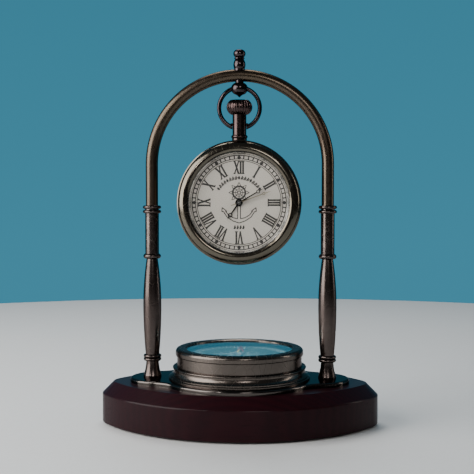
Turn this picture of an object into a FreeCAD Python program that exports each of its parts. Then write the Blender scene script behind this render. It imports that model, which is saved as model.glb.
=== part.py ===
"""A ship's deck clock: a pocket-watch clock that hangs from an arch over a wooden base with a compass.

Frame: millimetres, +Z up, the front faces -Y, and the origin is on the ground under the middle of the base.
The driving sizes are cells of the sheet "Sizes". Every other size and place is worked out from them.
Pieces of the watch are drawn in the watch's own frame (x right, y up, z to the front, origin at the middle
of the dial's axis) and are then stood upright by their Placement.
"""
import FreeCAD, Part
import math
import operator
import os
from collections import namedtuple

import Sketcher

Vector = FreeCAD.Vector
document = FreeCAD.newDocument("ShipsDeckClock")
sheet = document.addObject("Spreadsheet::Sheet", "Sizes")
nodes = []


# ---------------------------------------------------------------- sizes that keep their sheet formula

OPERATIONS = {"+": operator.add, "-": operator.sub, "*": operator.mul, "/": operator.truediv}


class Size:
    """A length, angle or count, with the sheet formula that gives it."""

    def __init__(self, value, formula):
        self.value = float(value)
        self.formula = formula

    def joined(self, sign, other, swapped=False):
        first, second = (size(other), self) if swapped else (self, size(other))
        value = OPERATIONS[sign](first.value, second.value)
        return Size(value, f"({first.formula} {sign} {second.formula})")

    def __add__(self, other):
        return self.joined("+", other)

    def __radd__(self, other):
        return self.joined("+", other, swapped=True)

    def __sub__(self, other):
        return self.joined("-", other)

    def __rsub__(self, other):
        return self.joined("-", other, swapped=True)

    def __mul__(self, other):
        return self.joined("*", other)

    def __rmul__(self, other):
        return self.joined("*", other, swapped=True)

    def __truediv__(self, other):
        return self.joined("/", other)

    def __rtruediv__(self, other):
        return self.joined("/", other, swapped=True)

    def __neg__(self):
        return Size(-self.value, f"-({self.formula})")


def size(item):
    """Give a plain number the form of a Size, and leave a Size as it is."""
    return item if isinstance(item, Size) else Size(item, f"{float(item):.9g}")


def root(item):
    """The square root of a Size."""
    return Size(math.sqrt(item.value), f"sqrt({item.formula})")


def cell(alias, value, note):
    """Write one driving size in the sheet and return it."""
    cell.row += 1
    sheet.set(f"A{cell.row}", note)
    sheet.set(f"B{cell.row}", f"{value}")
    sheet.setAlias(f"B{cell.row}", alias)
    return Size(value, f"Sizes.{alias}")


cell.row = 0


# ---------------------------------------------------------------- driving sizes

# Fits
running_gap = cell("running_gap", 0.05, "radial clearance of a shaft that turns")
hole_gap = cell("hole_gap", 0.2, "radial clearance of a bolt or stem in its hole")

# Domes are flat in their very middle
pole_flat = cell("pole_flat", 1.2, "radius of the flat in the middle of a wide dome")
small_pole_flat = cell("small_pole_flat", 0.3, "radius of the flat on the end of a small turned piece")

# Base
base_half_length = cell("base_half_length", 85, "wooden base, from the middle to its end")
base_half_depth = cell("base_half_depth", 55, "wooden base, from the middle to its front")
base_end_radius = cell("base_end_radius", 20, "rounding of the wooden base's two ends")
wood_thickness = cell("wood_thickness", 25, "wooden base")
wood_chamfer = cell("wood_chamfer", 7, "slope round the top of the wooden base")
wood_edge_round = cell("wood_edge_round", 1.2, "rounding below the slope")
wood_foot_round = cell("wood_foot_round", 1, "rounding of the wood's bottom edge")
felt_thickness = cell("felt_thickness", 1, "felt under the base")
felt_inset = cell("felt_inset", 4, "from the wood's edge to the felt's edge")
plate_thickness = cell("plate_thickness", 2.8, "metal plate on the wooden base")
plate_radius = cell("plate_radius", 47, "round middle of the base plate")
plate_ear_radius = cell("plate_ear_radius", 20, "round ears of the base plate")
plate_ear_inset = cell("plate_ear_inset", 6.5, "from a post's axis in to the middle of its ear")
plate_waist_radius = cell("plate_waist_radius", 25, "hollow curve between the middle and an ear")
plate_edge_round = cell("plate_edge_round", 1.2, "rounding of the base plate's top edge")

# Posts and arch
post_offset = cell("post_offset", 54, "from the middle to a post's axis, also the arch's radius")
foot_height = cell("foot_height", 13.8, "flared foot with its collar")
foot_radius = cell("foot_radius", 5.5, "flared foot at the base plate")
baluster_height = cell("baluster_height", 59.3, "turned part of a post")
baluster_radius = cell("baluster_radius", 5.6, "belly of a post")
baluster_foot_radius = cell("baluster_foot_radius", 4.2, "lower neck of a post")
baluster_neck_radius = cell("baluster_neck_radius", 3.4, "upper neck of a post")
socket_height = cell("socket_height", 32.7, "sleeve that joins a post to the arch, with its collars")
socket_radius = cell("socket_radius", 4.2, "sleeve")
collar_radius = cell("collar_radius", 5.6, "collars")
tube_radius = cell("tube_radius", 3.75, "arch tube")
tube_wall = cell("tube_wall", 0.9, "arch tube")
arch_leg = cell("arch_leg", 25.4, "straight part of the arch above a sleeve")
stud_radius = cell("stud_radius", 2, "rod that clamps a post to the base")
nut_radius = cell("nut_radius", 4, "nut on a rod, to its corners")
nut_height = cell("nut_height", 3.2, "nut on a rod")
washer_radius = cell("washer_radius", 5, "washer under a nut")
washer_thickness = cell("washer_thickness", 1, "washer under a nut")

# Finial, hanger and bow
finial_radius = cell("finial_radius", 3.7, "body of the finial")
finial_height = cell("finial_height", 12, "finial above the arch")
shank_radius = cell("shank_radius", 1.5, "threaded shank of the hanger")
hanger_radius = cell("hanger_radius", 5.05, "widest part of the hanger")
hanger_height = cell("hanger_height", 9.5, "hanger below the arch")
hanger_drop = cell("hanger_drop", 3.65, "from the arch down to the bow's wire")
bow_radius = cell("bow_radius", 12.45, "bow, to the middle of its wire")
wire_radius = cell("wire_radius", 1.3, "wire of the bow")
bow_pivot_drop = cell("bow_pivot_drop", 10.1, "from the bow's middle down to its pins")
pin_radius = cell("pin_radius", 0.85, "pins of the bow")
bow_gap = cell("bow_gap", 0.15, "between the bow and what it hangs in or holds")

# Watch case
case_radius = cell("case_radius", 38, "outside of the bezel and the back cover")
band_radius = cell("band_radius", 37.2, "outside of the case band")
case_bore = cell("case_bore", 33.2, "inside of the case")
band_half_width = cell("band_half_width", 3.75, "case band, half of its width")
bezel_height = cell("bezel_height", 5.75, "front bezel")
window_radius = cell("window_radius", 30.9, "opening of the front bezel")
back_height = cell("back_height", 6.25, "back cover, with its dome")
back_wall = cell("back_wall", 0.9, "back cover")
spigot_depth = cell("spigot_depth", 1.2, "how far the bezel and the back cover press into the band")
crystal_thickness = cell("crystal_thickness", 1.4, "watch glass")
crystal_dome = cell("crystal_dome", 0.75, "rise of the watch glass in its middle")
gasket_thickness = cell("gasket_thickness", 0.7, "gasket behind the watch glass")
ring_opening = cell("ring_opening", 29.4, "bright ring round the dial, inside")
dial_thickness = cell("dial_thickness", 0.5, "dial")
dial_front = cell("dial_front", 4.2, "from the middle of the case to the dial's face")

# Pendant and crown
pendant_radius = cell("pendant_radius", 4.2, "tube on top of the case")
pendant_bore = cell("pendant_bore", 1.9, "bore of that tube")
pendant_collar = cell("pendant_collar", 3.2, "height of the bead and flange at its foot")
pendant_low = cell("pendant_low", 6.35, "from its bead up to the bow's pins")
pendant_high = cell("pendant_high", 5.95, "from the bow's pins up to its top")
crown_radius = cell("crown_radius", 7.9, "crown")
crown_height = cell("crown_height", 8.8, "crown")
flute_count = cell("flute_count", 28, "flutes round the crown")
flute_radius = cell("flute_radius", 0.5, "hollow of a flute")
stem_radius = cell("stem_radius", 0.9, "setting stem")

# Movement
plate_disc_radius = cell("plate_disc_radius", 21, "main plate of the movement")
plate_disc_thickness = cell("plate_disc_thickness", 2, "main plate of the movement")
plate_disc_front = cell("plate_disc_front", 1.5, "from the middle of the case to the main plate's face")
arbor_distance = cell("arbor_distance", 7.2, "from the middle of the dial to each side arbor")
arbor_radius = cell("arbor_radius", 0.3, "thin arbors")
bridge_radius = cell("bridge_radius", 14.6, "bridge that holds the train")
bridge_thickness = cell("bridge_thickness", 1, "bridge that holds the train")
bridge_gap = cell("bridge_gap", 3, "between the main plate and the bridge")
battery_radius = cell("battery_radius", 4.75, "button battery")
battery_height = cell("battery_height", 2.6, "button battery")
board_radius = cell("board_radius", 17.5, "circuit board")
board_thickness = cell("board_thickness", 0.8, "circuit board")
hour_hand_length = cell("hour_hand_length", 12.6, "hour hand")
minute_hand_length = cell("minute_hand_length", 17.5, "minute hand")
seconds_hand_length = cell("seconds_hand_length", 21.5, "seconds hand")
hand_thickness = cell("hand_thickness", 0.35, "hands")

# Compass
drum_radius = cell("drum_radius", 38.4, "compass drum")
drum_height = cell("drum_height", 15.4, "compass drum")
drum_wall = cell("drum_wall", 2.4, "compass drum")
drum_floor = cell("drum_floor", 2, "compass drum")
skirt_radius = cell("skirt_radius", 43.5, "flared ring round the drum")
skirt_height = cell("skirt_height", 7.2, "flared ring round the drum")
compass_bezel_radius = cell("compass_bezel_radius", 39.3, "compass bezel")
compass_window = cell("compass_window", 32.6, "opening of the compass bezel")
compass_lip = cell("compass_lip", 0.9, "compass bezel above its glass")
compass_glass_thickness = cell("compass_glass_thickness", 1.5, "compass glass")
compass_gasket_thickness = cell("compass_gasket_thickness", 0.6, "gasket under the compass glass")
card_height = cell("card_height", 12.3, "from the base plate up to the compass card")
card_thickness = cell("card_thickness", 0.6, "compass card")
needle_length = cell("needle_length", 26, "compass needle, from its middle to a tip")
needle_height = cell("needle_height", 14, "from the base plate up to the needle")
needle_thickness = cell("needle_thickness", 0.5, "compass needle")
screw_circle = cell("screw_circle", 22, "compass screws, from the middle")
screw_radius = cell("screw_radius", 1.5, "compass screws")
screw_length = cell("screw_length", 14, "compass screws below the drum's floor")

# Teeth: each pair of wheels is spaced by arbor_distance
CANNON_TEETH, MINUTE_WHEEL_TEETH = 12, 36
MINUTE_PINION_TEETH, HOUR_TEETH = 10, 40
CENTER_TEETH, THIRD_PINION_TEETH = 64, 8
THIRD_TEETH, SECONDS_PINION_TEETH = 60, 8
SECONDS_TEETH = 36

# Turns clockwise from twelve, seen from the front, as the hands stand
HOUR_HAND_TURN, MINUTE_HAND_TURN, SECONDS_HAND_TURN = 215, 60, 70

# Derived levels above the ground
wood_top = felt_thickness + wood_thickness
plate_top = wood_top + plate_thickness
baluster_bottom = plate_top + foot_height
socket_bottom = baluster_bottom + baluster_height
socket_top = socket_bottom + socket_height
arch_spring = socket_top + arch_leg
arch_top = arch_spring + post_offset + tube_radius
arch_underside = arch_spring + post_offset - tube_radius
bow_height = arch_underside - hanger_drop - bow_radius
pivot_height = bow_height - bow_pivot_drop
pendant_gap = 0.1
hub_height = pivot_height - pendant_low - pendant_collar - pendant_gap - case_radius
pendant_top = pivot_height + pendant_high
stud_hole = stud_radius + hole_gap


# ---------------------------------------------------------------- drawing helpers

Point = namedtuple("Point", "x y on_arc")


def at(x, y):
    """A corner of an outline."""
    return Point(size(x), size(y), False)


def via(x, y):
    """A point that the arc between its two neighbours passes through."""
    return Point(size(x), size(y), True)


def bead(radius, bottom, top):
    """The three points of a rounded bead on a turned piece."""
    neck = radius - (top - bottom) * 0.4
    return [at(neck, bottom), via(radius, (bottom + top) / 2), at(neck, top)]


def node(item):
    """Keep a finished sub-part for export."""
    nodes.append(item)
    return item


def new_body(label):
    return node(document.addObject("PartDesign::Body", label))


def attached_sketch(body, name, role, level=0, turn=0):
    """A sketch on one of the body's own planes, raised to a level and turned about its normal."""
    sketch = body.newObject("Sketcher::SketchObject", name)
    plane = [feature for feature in body.Origin.OriginFeatures if feature.Role == role][0]
    sketch.AttachmentSupport = [(plane, "")]
    sketch.MapMode = "FlatFace"
    level = size(level)
    spin = FreeCAD.Rotation(Vector(0, 0, 1), turn)
    sketch.AttachmentOffset = FreeCAD.Placement(Vector(0, 0, level.value), spin)
    sketch.setExpression("AttachmentOffset.Base.z", level.formula)
    return sketch


def tie(sketch, kind, axis, geometry, end, distance):
    """Fix one coordinate of a sketch point by a size measured from the sketch's origin."""
    if abs(distance.value) < 1e-9:
        sketch.addConstraint(Sketcher.Constraint("PointOnObject", geometry, end, axis))
        return
    ends = (-1, 1, geometry, end) if distance.value > 0 else (geometry, end, -1, 1)
    distance = distance if distance.value > 0 else -distance
    number = sketch.addConstraint(Sketcher.Constraint(kind, *ends, distance.value))
    sketch.setExpression(f"Constraints[{number}]", distance.formula)


def tie_point(sketch, geometry, end, point):
    tie(sketch, "DistanceX", -2, geometry, end, point.x)
    tie(sketch, "DistanceY", -1, geometry, end, point.y)


def flat(point):
    return Vector(point.x.value, point.y.value, 0)


def draw_span(sketch, start, middle, end):
    """Draw one side of an outline. Gives the geometry's number and which of its ends comes first."""
    if middle is None:
        return sketch.addGeometry(Part.LineSegment(flat(start), flat(end)), False), (1, 2)
    arc = sketch.addGeometry(Part.Arc(flat(start), flat(middle), flat(end)), False)
    spot = sketch.addGeometry(Part.Point(flat(middle)), True)
    tie_point(sketch, spot, 1, middle)
    sketch.addConstraint(Sketcher.Constraint("PointOnObject", spot, 1, arc))
    forward = sketch.getPoint(arc, 1).distanceToPoint(flat(start)) < 1e-6
    return arc, (1, 2) if forward else (2, 1)


def draw(sketch, points, closed=True):
    """Draw an outline of straight lines and three-point arcs, each point tied to the sheet."""
    points = [point for before, point in zip(points[-1:] + points, points) if flat(before) != flat(point)]
    corners = [index for index, point in enumerate(points) if not point.on_arc]
    following = corners[1:] + corners[:1] if closed else corners[1:]
    spans = []
    for first, last in zip(corners, following):
        middle = points[(first + 1) % len(points)]
        spans.append(draw_span(sketch, points[first], middle if middle.on_arc else None, points[last]))
    for (geometry, ends), corner in zip(spans, corners):
        tie_point(sketch, geometry, ends[0], points[corner])
    if not closed:
        tie_point(sketch, spans[-1][0], spans[-1][1][1], points[corners[-1]])
    for before, after in zip(spans, spans[1:] + spans[:1] if closed else spans[1:]):
        joint = Sketcher.Constraint("Coincident", before[0], before[1][1], after[0], after[1][0])
        sketch.addConstraint(joint)
    return sketch


def draw_circle(sketch, x, y, radius):
    centre = at(x, y)
    radius = size(radius)
    geometry = sketch.addGeometry(Part.Circle(flat(centre), Vector(0, 0, 1), radius.value), False)
    tie_point(sketch, geometry, 3, centre)
    number = sketch.addConstraint(Sketcher.Constraint("Radius", geometry, radius.value))
    sketch.setExpression(f"Constraints[{number}]", radius.formula)


def feature(body, kind, name, sketch, length=None):
    """Add a sketch-based feature, with its length tied to the sheet, or through all of the body."""
    item = body.newObject(f"PartDesign::{kind}", name)
    item.Profile = sketch
    if length is None:
        item.Type = "ThroughAll"
    else:
        item.Length = size(length).value
        item.setExpression("Length", size(length).formula)
    return item


def turned(label, points):
    """A piece turned about its z axis, from points given as radius and height."""
    body = new_body(label)
    sketch = draw(attached_sketch(body, "Profile", "XZ_Plane"), points)
    turning = body.newObject("PartDesign::Revolution", "Turning")
    turning.Profile = sketch
    turning.ReferenceAxis = (sketch, ["V_Axis"])
    turning.Angle = 360
    return body


def tube_profile(inside, outside, bottom, top):
    return [at(inside, bottom), at(outside, bottom), at(outside, top), at(inside, top)]


def pad(body, name, points, length, level=0, turn=0):
    sketch = draw(attached_sketch(body, f"{name}Outline", "XY_Plane", level, turn), points)
    return feature(body, "Pad", name, sketch, length)


def pad_circle(body, name, x, y, radius, length, level=0):
    sketch = attached_sketch(body, f"{name}Circle", "XY_Plane", level)
    draw_circle(sketch, x, y, radius)
    return feature(body, "Pad", name, sketch, length)


def drill(body, name, centres, radius, level=0, length=None):
    """Cut round holes upwards from a level. The volume shows that each hole went into the body."""
    document.recompute()
    before = body.Shape.Volume
    sketch = attached_sketch(body, f"{name}Circles", "XY_Plane", level)
    for x, y in centres:
        draw_circle(sketch, x, y, radius)
    pocket = feature(body, "Pocket", name, sketch, length)
    pocket.Reversed = True
    document.recompute()
    if body.Shape.Volume >= before:
        raise RuntimeError(f"{body.Label}: {name} cut nothing")


def drill_across(body, name, height, radius, from_x, to_x):
    """Cut a round hole along x, at a height on the body's axis."""
    cut = body.newObject("PartDesign::SubtractiveCylinder", name)
    bind(cut, "Radius", radius)
    bind(cut, "Height", to_x - from_x)
    cut.Placement.Rotation = FreeCAD.Rotation(Vector(0, 1, 0), 90)
    bind(cut, "Placement.Base.x", from_x)
    bind(cut, "Placement.Base.z", height)


def bind(item, name, value):
    item.setExpression(name, size(value).formula)


def place(item, x=0, y=0, z=0):
    """Put a piece where the sheet says, in the part's own frame."""
    for axis, distance in zip("xyz", (x, y, z)):
        bind(item, f"Placement.Base.{axis}", distance)
    return item


def place_in_watch(item, x=0, y=0, z=0, turn=0):
    """Put a piece in the watch's frame: x right, y up, z to the front, turned about z."""
    upright = FreeCAD.Rotation(Vector(1, 0, 0), 90)
    item.Placement.Rotation = upright.multiply(FreeCAD.Rotation(Vector(0, 0, 1), turn))
    return place(item, x, -size(z), hub_height + y)


def round_edges(body, name, kind, radius, chosen):
    """Fillet or chamfer the edges that a test picks by their place."""
    document.recompute()
    base = body.Tip
    picked = [f"Edge{number}" for number, edge in enumerate(base.Shape.Edges, 1) if chosen(edge)]
    item = body.newObject(f"PartDesign::{kind}", name)
    item.Base = (base, picked)
    bind(item, "Radius" if kind == "Fillet" else "Size", radius)
    return item


def level_edge(level):
    """A test for edges that lie flat at one height."""
    return lambda edge: all(abs(vertex.Z - size(level).value) < 1e-6 for vertex in edge.Vertexes)


def upright_edge(edge):
    ends = edge.Vertexes
    return len(ends) == 2 and (ends[0].Point - ends[1].Point).cross(Vector(0, 0, 1)).Length < 1e-6


def add_teeth(body, name, teeth, pitch_radius, level, width, turn=0):
    """Put a ring of teeth round a disc of radius root_radius(teeth, pitch_radius)."""
    module = pitch_radius * 2 / teeth
    foot = root_radius(teeth, pitch_radius) - module * 0.2
    tip = pitch_radius + module * 0.85
    tooth = [
        at(foot, -(module * 0.8)), at(tip, -(module * 0.3)), at(tip, module * 0.3), at(foot, module * 0.8),
    ]
    first = pad(body, f"{name}Tooth", tooth, width, level, turn)
    ring = body.newObject("PartDesign::PolarPattern", name)
    ring.Originals = [first]
    ring.Axis = (first.Profile[0], ["N_Axis"])
    ring.Angle = 360
    ring.Occurrences = teeth
    body.Tip = ring


def root_radius(teeth, pitch_radius):
    return pitch_radius - pitch_radius * 2 / teeth * 1.1


def primitive(kind, label, sizes, position, turn=None):
    """A Part primitive with its sizes and its place tied to the sheet."""
    item = document.addObject(f"Part::{kind}", label)
    for name, value in sizes.items():
        bind(item, name, value)
    if turn:
        item.Placement.Rotation = FreeCAD.Rotation(*turn)
    return place(item, *position)


def cylinder(label, radius, height, position, turn=None):
    return primitive("Cylinder", label, {"Radius": radius, "Height": height}, position, turn)


def box(label, length, width, height, position):
    """A box given by its size and the middle of its bottom."""
    x, y, z = position
    sizes = {"Length": length, "Width": width, "Height": height}
    return primitive("Box", label, sizes, (x - size(length) / 2, y - size(width) / 2, z))


def fused(label, pieces):
    item = document.addObject("Part::MultiFuse", label)
    item.Shapes = pieces
    return item


def cut_from(label, base, tool):
    item = document.addObject("Part::Cut", label)
    item.Base = base
    item.Tool = tool
    return item


def group(label, pieces):
    """One node that holds several separate solids."""
    item = document.addObject("Part::Compound", label)
    item.Links = pieces
    return node(item)


def gear_pitch(teeth, mate):
    """The pitch radius of a wheel that meshes with its mate across arbor_distance."""
    return arbor_distance * teeth / (teeth + mate)


# ---------------------------------------------------------------- base

post_places = [(-post_offset, 0), (post_offset, 0)]
screw_reach = screw_circle * math.sqrt(0.5)
screw_places = [(screw_reach * sx, screw_reach * sy) for sx in (-1, 1) for sy in (-1, 1)]
counterbore_depth = nut_height + washer_thickness + 4
counterbore_radius = washer_radius + 1


def oval(inset=0):
    """An oval of four arcs, each tangent to the next."""
    half_length = base_half_length - inset
    half_depth = base_half_depth - inset
    end_radius = base_end_radius - inset
    end_centre = half_length - end_radius
    side_shift = half_depth - end_radius
    centre = (end_centre * end_centre - side_shift * side_shift) / (side_shift * 2)
    side_radius = half_depth + centre
    reach = side_radius - end_radius
    x = end_centre * side_radius / reach
    y = centre * end_radius / reach
    return [
        at(x, -y), via(half_length, 0), at(x, y), via(0, half_depth),
        at(-x, y), via(-half_length, 0), at(-x, -y), via(0, -half_depth),
    ]


def make_felt_pad():
    body = new_body("felt_pad")
    pad(body, "Felt", oval(felt_inset), felt_thickness)


def make_wood_base():
    body = new_body("wood_base")
    pad(body, "Block", oval(), wood_thickness)
    round_edges(body, "Slope", "Chamfer", wood_chamfer, level_edge(wood_thickness))
    round_edges(body, "SlopeRound", "Fillet", wood_edge_round, level_edge(wood_thickness - wood_chamfer))
    round_edges(body, "BottomRound", "Fillet", wood_foot_round, level_edge(0))
    drill(body, "StudHoles", post_places, stud_hole)
    drill(body, "NutRecesses", post_places, counterbore_radius, 0, counterbore_depth)
    pilot_depth = screw_length - plate_thickness
    drill(body, "PilotHoles", screw_places, screw_radius, wood_thickness - pilot_depth)
    place(body, z=felt_thickness)


def make_base_plate():
    body = new_body("base_plate")
    pad_circle(body, "Middle", 0, 0, plate_radius, plate_thickness)
    for x, name in ((plate_ear_inset - post_offset, "LeftEar"), (post_offset - plate_ear_inset, "RightEar")):
        pad_circle(body, name, x, 0, plate_ear_radius, plate_thickness)
    round_edges(body, "Waists", "Fillet", plate_waist_radius, upright_corner)
    round_edges(body, "TopRound", "Fillet", plate_edge_round, level_edge(plate_thickness))
    drill(body, "StudHoles", post_places, stud_hole)
    drill(body, "ScrewHoles", screw_places, screw_radius + hole_gap)
    place(body, z=wood_top)


def upright_corner(edge):
    """Upright edges off the part's middle plane, where the ears meet the round middle."""
    return upright_edge(edge) and abs(edge.Vertexes[0].Y) > 1


# ---------------------------------------------------------------- posts and arch

def foot_profile():
    collar = foot_height * 0.29
    flare_top = foot_height - collar
    toe = foot_height * 0.06
    neck = foot_radius * 0.7
    middle = flare_top + collar / 2
    return [
        at(stud_hole, 0), at(foot_radius, 0), at(foot_radius, toe),
        via(foot_radius * 0.8, foot_height * 0.36), at(neck, flare_top),
        *bead(foot_radius, flare_top, middle), *bead(foot_radius, middle, foot_height),
        at(stud_hole, foot_height),
    ]


def baluster_profile():
    belly = baluster_height * 0.505
    low = baluster_radius - (baluster_radius - baluster_foot_radius) / 4
    high = baluster_radius - (baluster_radius - baluster_neck_radius) / 4
    return [
        at(stud_hole, 0), at(baluster_foot_radius, 0), via(low, belly / 2),
        at(baluster_radius, belly), via(high, (belly + baluster_height) / 2),
        at(baluster_neck_radius, baluster_height), at(stud_hole, baluster_height),
    ]


thread_depth = 7


def socket_profile():
    """Threaded below for the rod, bored above for the arch tube."""
    low_bead = 3
    double_bead = 4.8
    half_groove = 0.3
    beads_bottom = socket_height - double_bead
    middle = socket_height - double_bead / 2
    return [
        at(stud_radius, 0), *bead(collar_radius - 0.2, size(0), size(low_bead)),
        at(socket_radius, low_bead), at(socket_radius, beads_bottom),
        *bead(collar_radius, beads_bottom, middle - half_groove),
        at(socket_radius, middle - half_groove), at(socket_radius, middle + half_groove),
        *bead(collar_radius, middle + half_groove, socket_height),
        at(tube_radius, socket_height), at(tube_radius, thread_depth), at(stud_radius, thread_depth),
    ]


def make_posts():
    for side, (x, _) in zip(("left", "right"), post_places):
        place(turned(f"post_foot_{side}", foot_profile()), x=x, z=plate_top)
        place(turned(f"baluster_{side}", baluster_profile()), x=x, z=baluster_bottom)
        place(turned(f"arch_socket_{side}", socket_profile()), x=x, z=socket_bottom)


def make_arch_tube():
    body = new_body("arch_tube")
    leg = socket_height + arch_leg - thread_depth
    section = attached_sketch(body, "Section", "XY_Plane")
    for radius in (tube_radius, tube_radius - tube_wall):
        draw_circle(section, -post_offset, 0, radius)
    path = draw(attached_sketch(body, "Path", "XZ_Plane"), [
        at(-post_offset, 0), at(-post_offset, leg), via(0, leg + post_offset),
        at(post_offset, leg), at(post_offset, 0),
    ], closed=False)
    pipe = body.newObject("PartDesign::AdditivePipe", "Tube")
    pipe.Profile = section
    pipe.Spine = path
    drill(body, "ShankHole", [(0, 0)], shank_radius + hole_gap)
    place(body, z=socket_bottom + thread_depth)


def make_studs():
    bottom = felt_thickness + counterbore_depth - washer_thickness - nut_height - 1
    length = socket_bottom + thread_depth - 1 - bottom
    seat = felt_thickness + counterbore_depth - washer_thickness
    studs, washers, nuts = [], [], []
    for side, (x, y) in zip(("Left", "Right"), post_places):
        studs.append(cylinder(f"Stud{side}", stud_radius, length, (x, y, bottom)))
        disc = cylinder(f"WasherDisc{side}", washer_radius, washer_thickness, (x, y, seat))
        bore = cylinder(f"WasherBore{side}", stud_hole, washer_thickness, (x, y, seat))
        washers.append(cut_from(f"Washer{side}", disc, bore))
        sizes = {"Circumradius": nut_radius, "Height": nut_height}
        hexagon = primitive("Prism", f"NutBlock{side}", sizes, (x, y, seat - nut_height))
        thread = cylinder(f"NutBore{side}", stud_radius, nut_height, (x, y, seat - nut_height))
        nuts.append(cut_from(f"Nut{side}", hexagon, thread))
    group("post_studs", studs)
    group("stud_washers", washers)
    group("stud_nuts", nuts)


# ---------------------------------------------------------------- finial, hanger and bow

saddle_depth = 1


def cut_saddle(body, level):
    """Hollow a piece to sit on the arch tube, whose springing line is at a level of the body's own frame."""
    saddle = body.newObject("PartDesign::SubtractiveTorus", "Saddle")
    bind(saddle, "Radius1", post_offset)
    bind(saddle, "Radius2", tube_radius)
    saddle.Placement.Rotation = FreeCAD.Rotation(Vector(1, 0, 0), 90)
    bind(saddle, "Placement.Base.z", level)


def make_finial():
    shank_reach = finial_height * 0.45
    waist = finial_height * 0.54
    knob = waist + 0.9
    top = finial_height - 0.12
    body = turned("finial", [
        at(shank_radius, -saddle_depth), at(finial_radius * 0.86, -saddle_depth),
        at(finial_radius * 0.86, 0.3),
        via(finial_radius * 0.99, finial_height * 0.24), at(finial_radius * 0.7, waist - 0.5),
        at(finial_radius * 0.84, waist - 0.2), at(finial_radius * 0.84, waist + 0.2),
        at(finial_radius * 0.72, knob), via(finial_radius, (knob + top) / 2),
        at(finial_radius * 0.35, top), at(0, finial_height),
        at(0, shank_reach), at(shank_radius, shank_reach),
    ])
    cut_saddle(body, -(post_offset + tube_radius))
    place(body, z=arch_top)


def make_hanger():
    """A turned drop with a curved eye for the bow, and a threaded shank up into the finial."""
    body = turned("hanger", [
        at(0, saddle_depth), at(hanger_radius * 0.5, saddle_depth), at(hanger_radius * 0.5, -0.8),
        via(hanger_radius * 0.86, -2), at(hanger_radius, -(hanger_height * 0.45)),
        via(hanger_radius * 0.88, -(hanger_height * 0.68)), at(hanger_radius * 0.5, -(hanger_height * 0.83)),
        via(hanger_radius * 0.25, -(hanger_height * 0.9)), at(small_pole_flat, -hanger_height),
        at(0, -hanger_height),
    ])
    cut_saddle(body, tube_radius - post_offset)
    shank = body.newObject("PartDesign::AdditiveCylinder", "Shank")
    bind(shank, "Radius", shank_radius)
    bind(shank, "Height", tube_radius * 2 + finial_height * 0.4 + 0.3)
    bind(shank, "Placement.Base.z", -0.3)
    eye = body.newObject("PartDesign::SubtractiveTorus", "Eye")
    bind(eye, "Radius1", bow_radius)
    bind(eye, "Radius2", wire_radius + bow_gap)
    eye.Placement.Rotation = FreeCAD.Rotation(Vector(1, 0, 0), 90)
    bind(eye, "Placement.Base.z", -(hanger_drop + bow_radius))
    place(body, z=arch_underside)


def make_bow():
    """A wire ring, open below, with a pin at each end that points inwards. Its own frame is the watch's."""
    body = new_body("bow_ring")
    section = attached_sketch(body, "Section", "YZ_Plane")
    draw_circle(section, bow_radius, 0, wire_radius)
    ring = body.newObject("PartDesign::Revolution", "Ring")
    ring.Profile = section
    ring.ReferenceAxis = (section, ["V_Axis"])
    ring.Midplane = True
    half_width = pendant_radius + bow_gap
    half_gap = math.degrees(math.asin(half_width.value / bow_radius.value))
    overlap = 6
    ring.Angle = 360 - 2 * half_gap + overlap
    trim = body.newObject("PartDesign::SubtractiveBox", "Trim")
    bind(trim, "Length", half_width * 2)
    bind(trim, "Width", bow_radius)
    bind(trim, "Height", wire_radius * 4)
    bind(trim, "Placement.Base.x", -half_width)
    bind(trim, "Placement.Base.y", -(bow_radius * 1.4))
    bind(trim, "Placement.Base.z", wire_radius * -2)
    pin_length = pendant_radius - pendant_bore - 0.6 + bow_gap + 1
    for side, name in ((-1, "LeftPin"), (1, "RightPin")):
        pin = body.newObject("PartDesign::AdditiveCylinder", name)
        bind(pin, "Radius", pin_radius)
        bind(pin, "Height", pin_length)
        pin.Placement.Rotation = FreeCAD.Rotation(Vector(0, 1, 0), 90)
        inner = pendant_bore + 0.6
        bind(pin, "Placement.Base.x", inner if side > 0 else -(inner + pin_length))
        bind(pin, "Placement.Base.y", -bow_pivot_drop)
    place_in_watch(body, y=bow_height - hub_height)


# ---------------------------------------------------------------- pendant, crown and stem

def make_pendant():
    """Turned tube, hollowed below to sit on the case band, with cross holes for the bow's pins."""
    flange_bottom = case_radius + pendant_gap
    flange_top = flange_bottom + 1
    bead_top = flange_bottom + pendant_collar
    top = bead_top + pendant_low + pendant_high
    foot = band_radius - 0.6
    neck = band_half_width - 0.35
    body = turned("pendant", [
        at(pendant_bore, foot), at(neck, foot), at(neck, flange_bottom),
        at(pendant_radius + 0.35, flange_bottom), at(pendant_radius + 0.35, flange_top),
        *bead(pendant_radius + 0.8, flange_top, bead_top),
        at(pendant_radius, bead_top), at(pendant_radius, top), at(pendant_bore, top),
    ])
    saddle = body.newObject("PartDesign::SubtractiveCylinder", "Saddle")
    bind(saddle, "Radius", band_radius)
    bind(saddle, "Height", case_radius)
    saddle.Placement.Rotation = FreeCAD.Rotation(Vector(1, 0, 0), 90)
    bind(saddle, "Placement.Base.y", case_radius / 2)
    reach = pendant_radius + 1
    drill_across(body, "PinHoles", pivot_height - hub_height, pin_radius + running_gap, -reach, reach)
    place(body, z=hub_height)


grip_depth = 5.5


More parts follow.
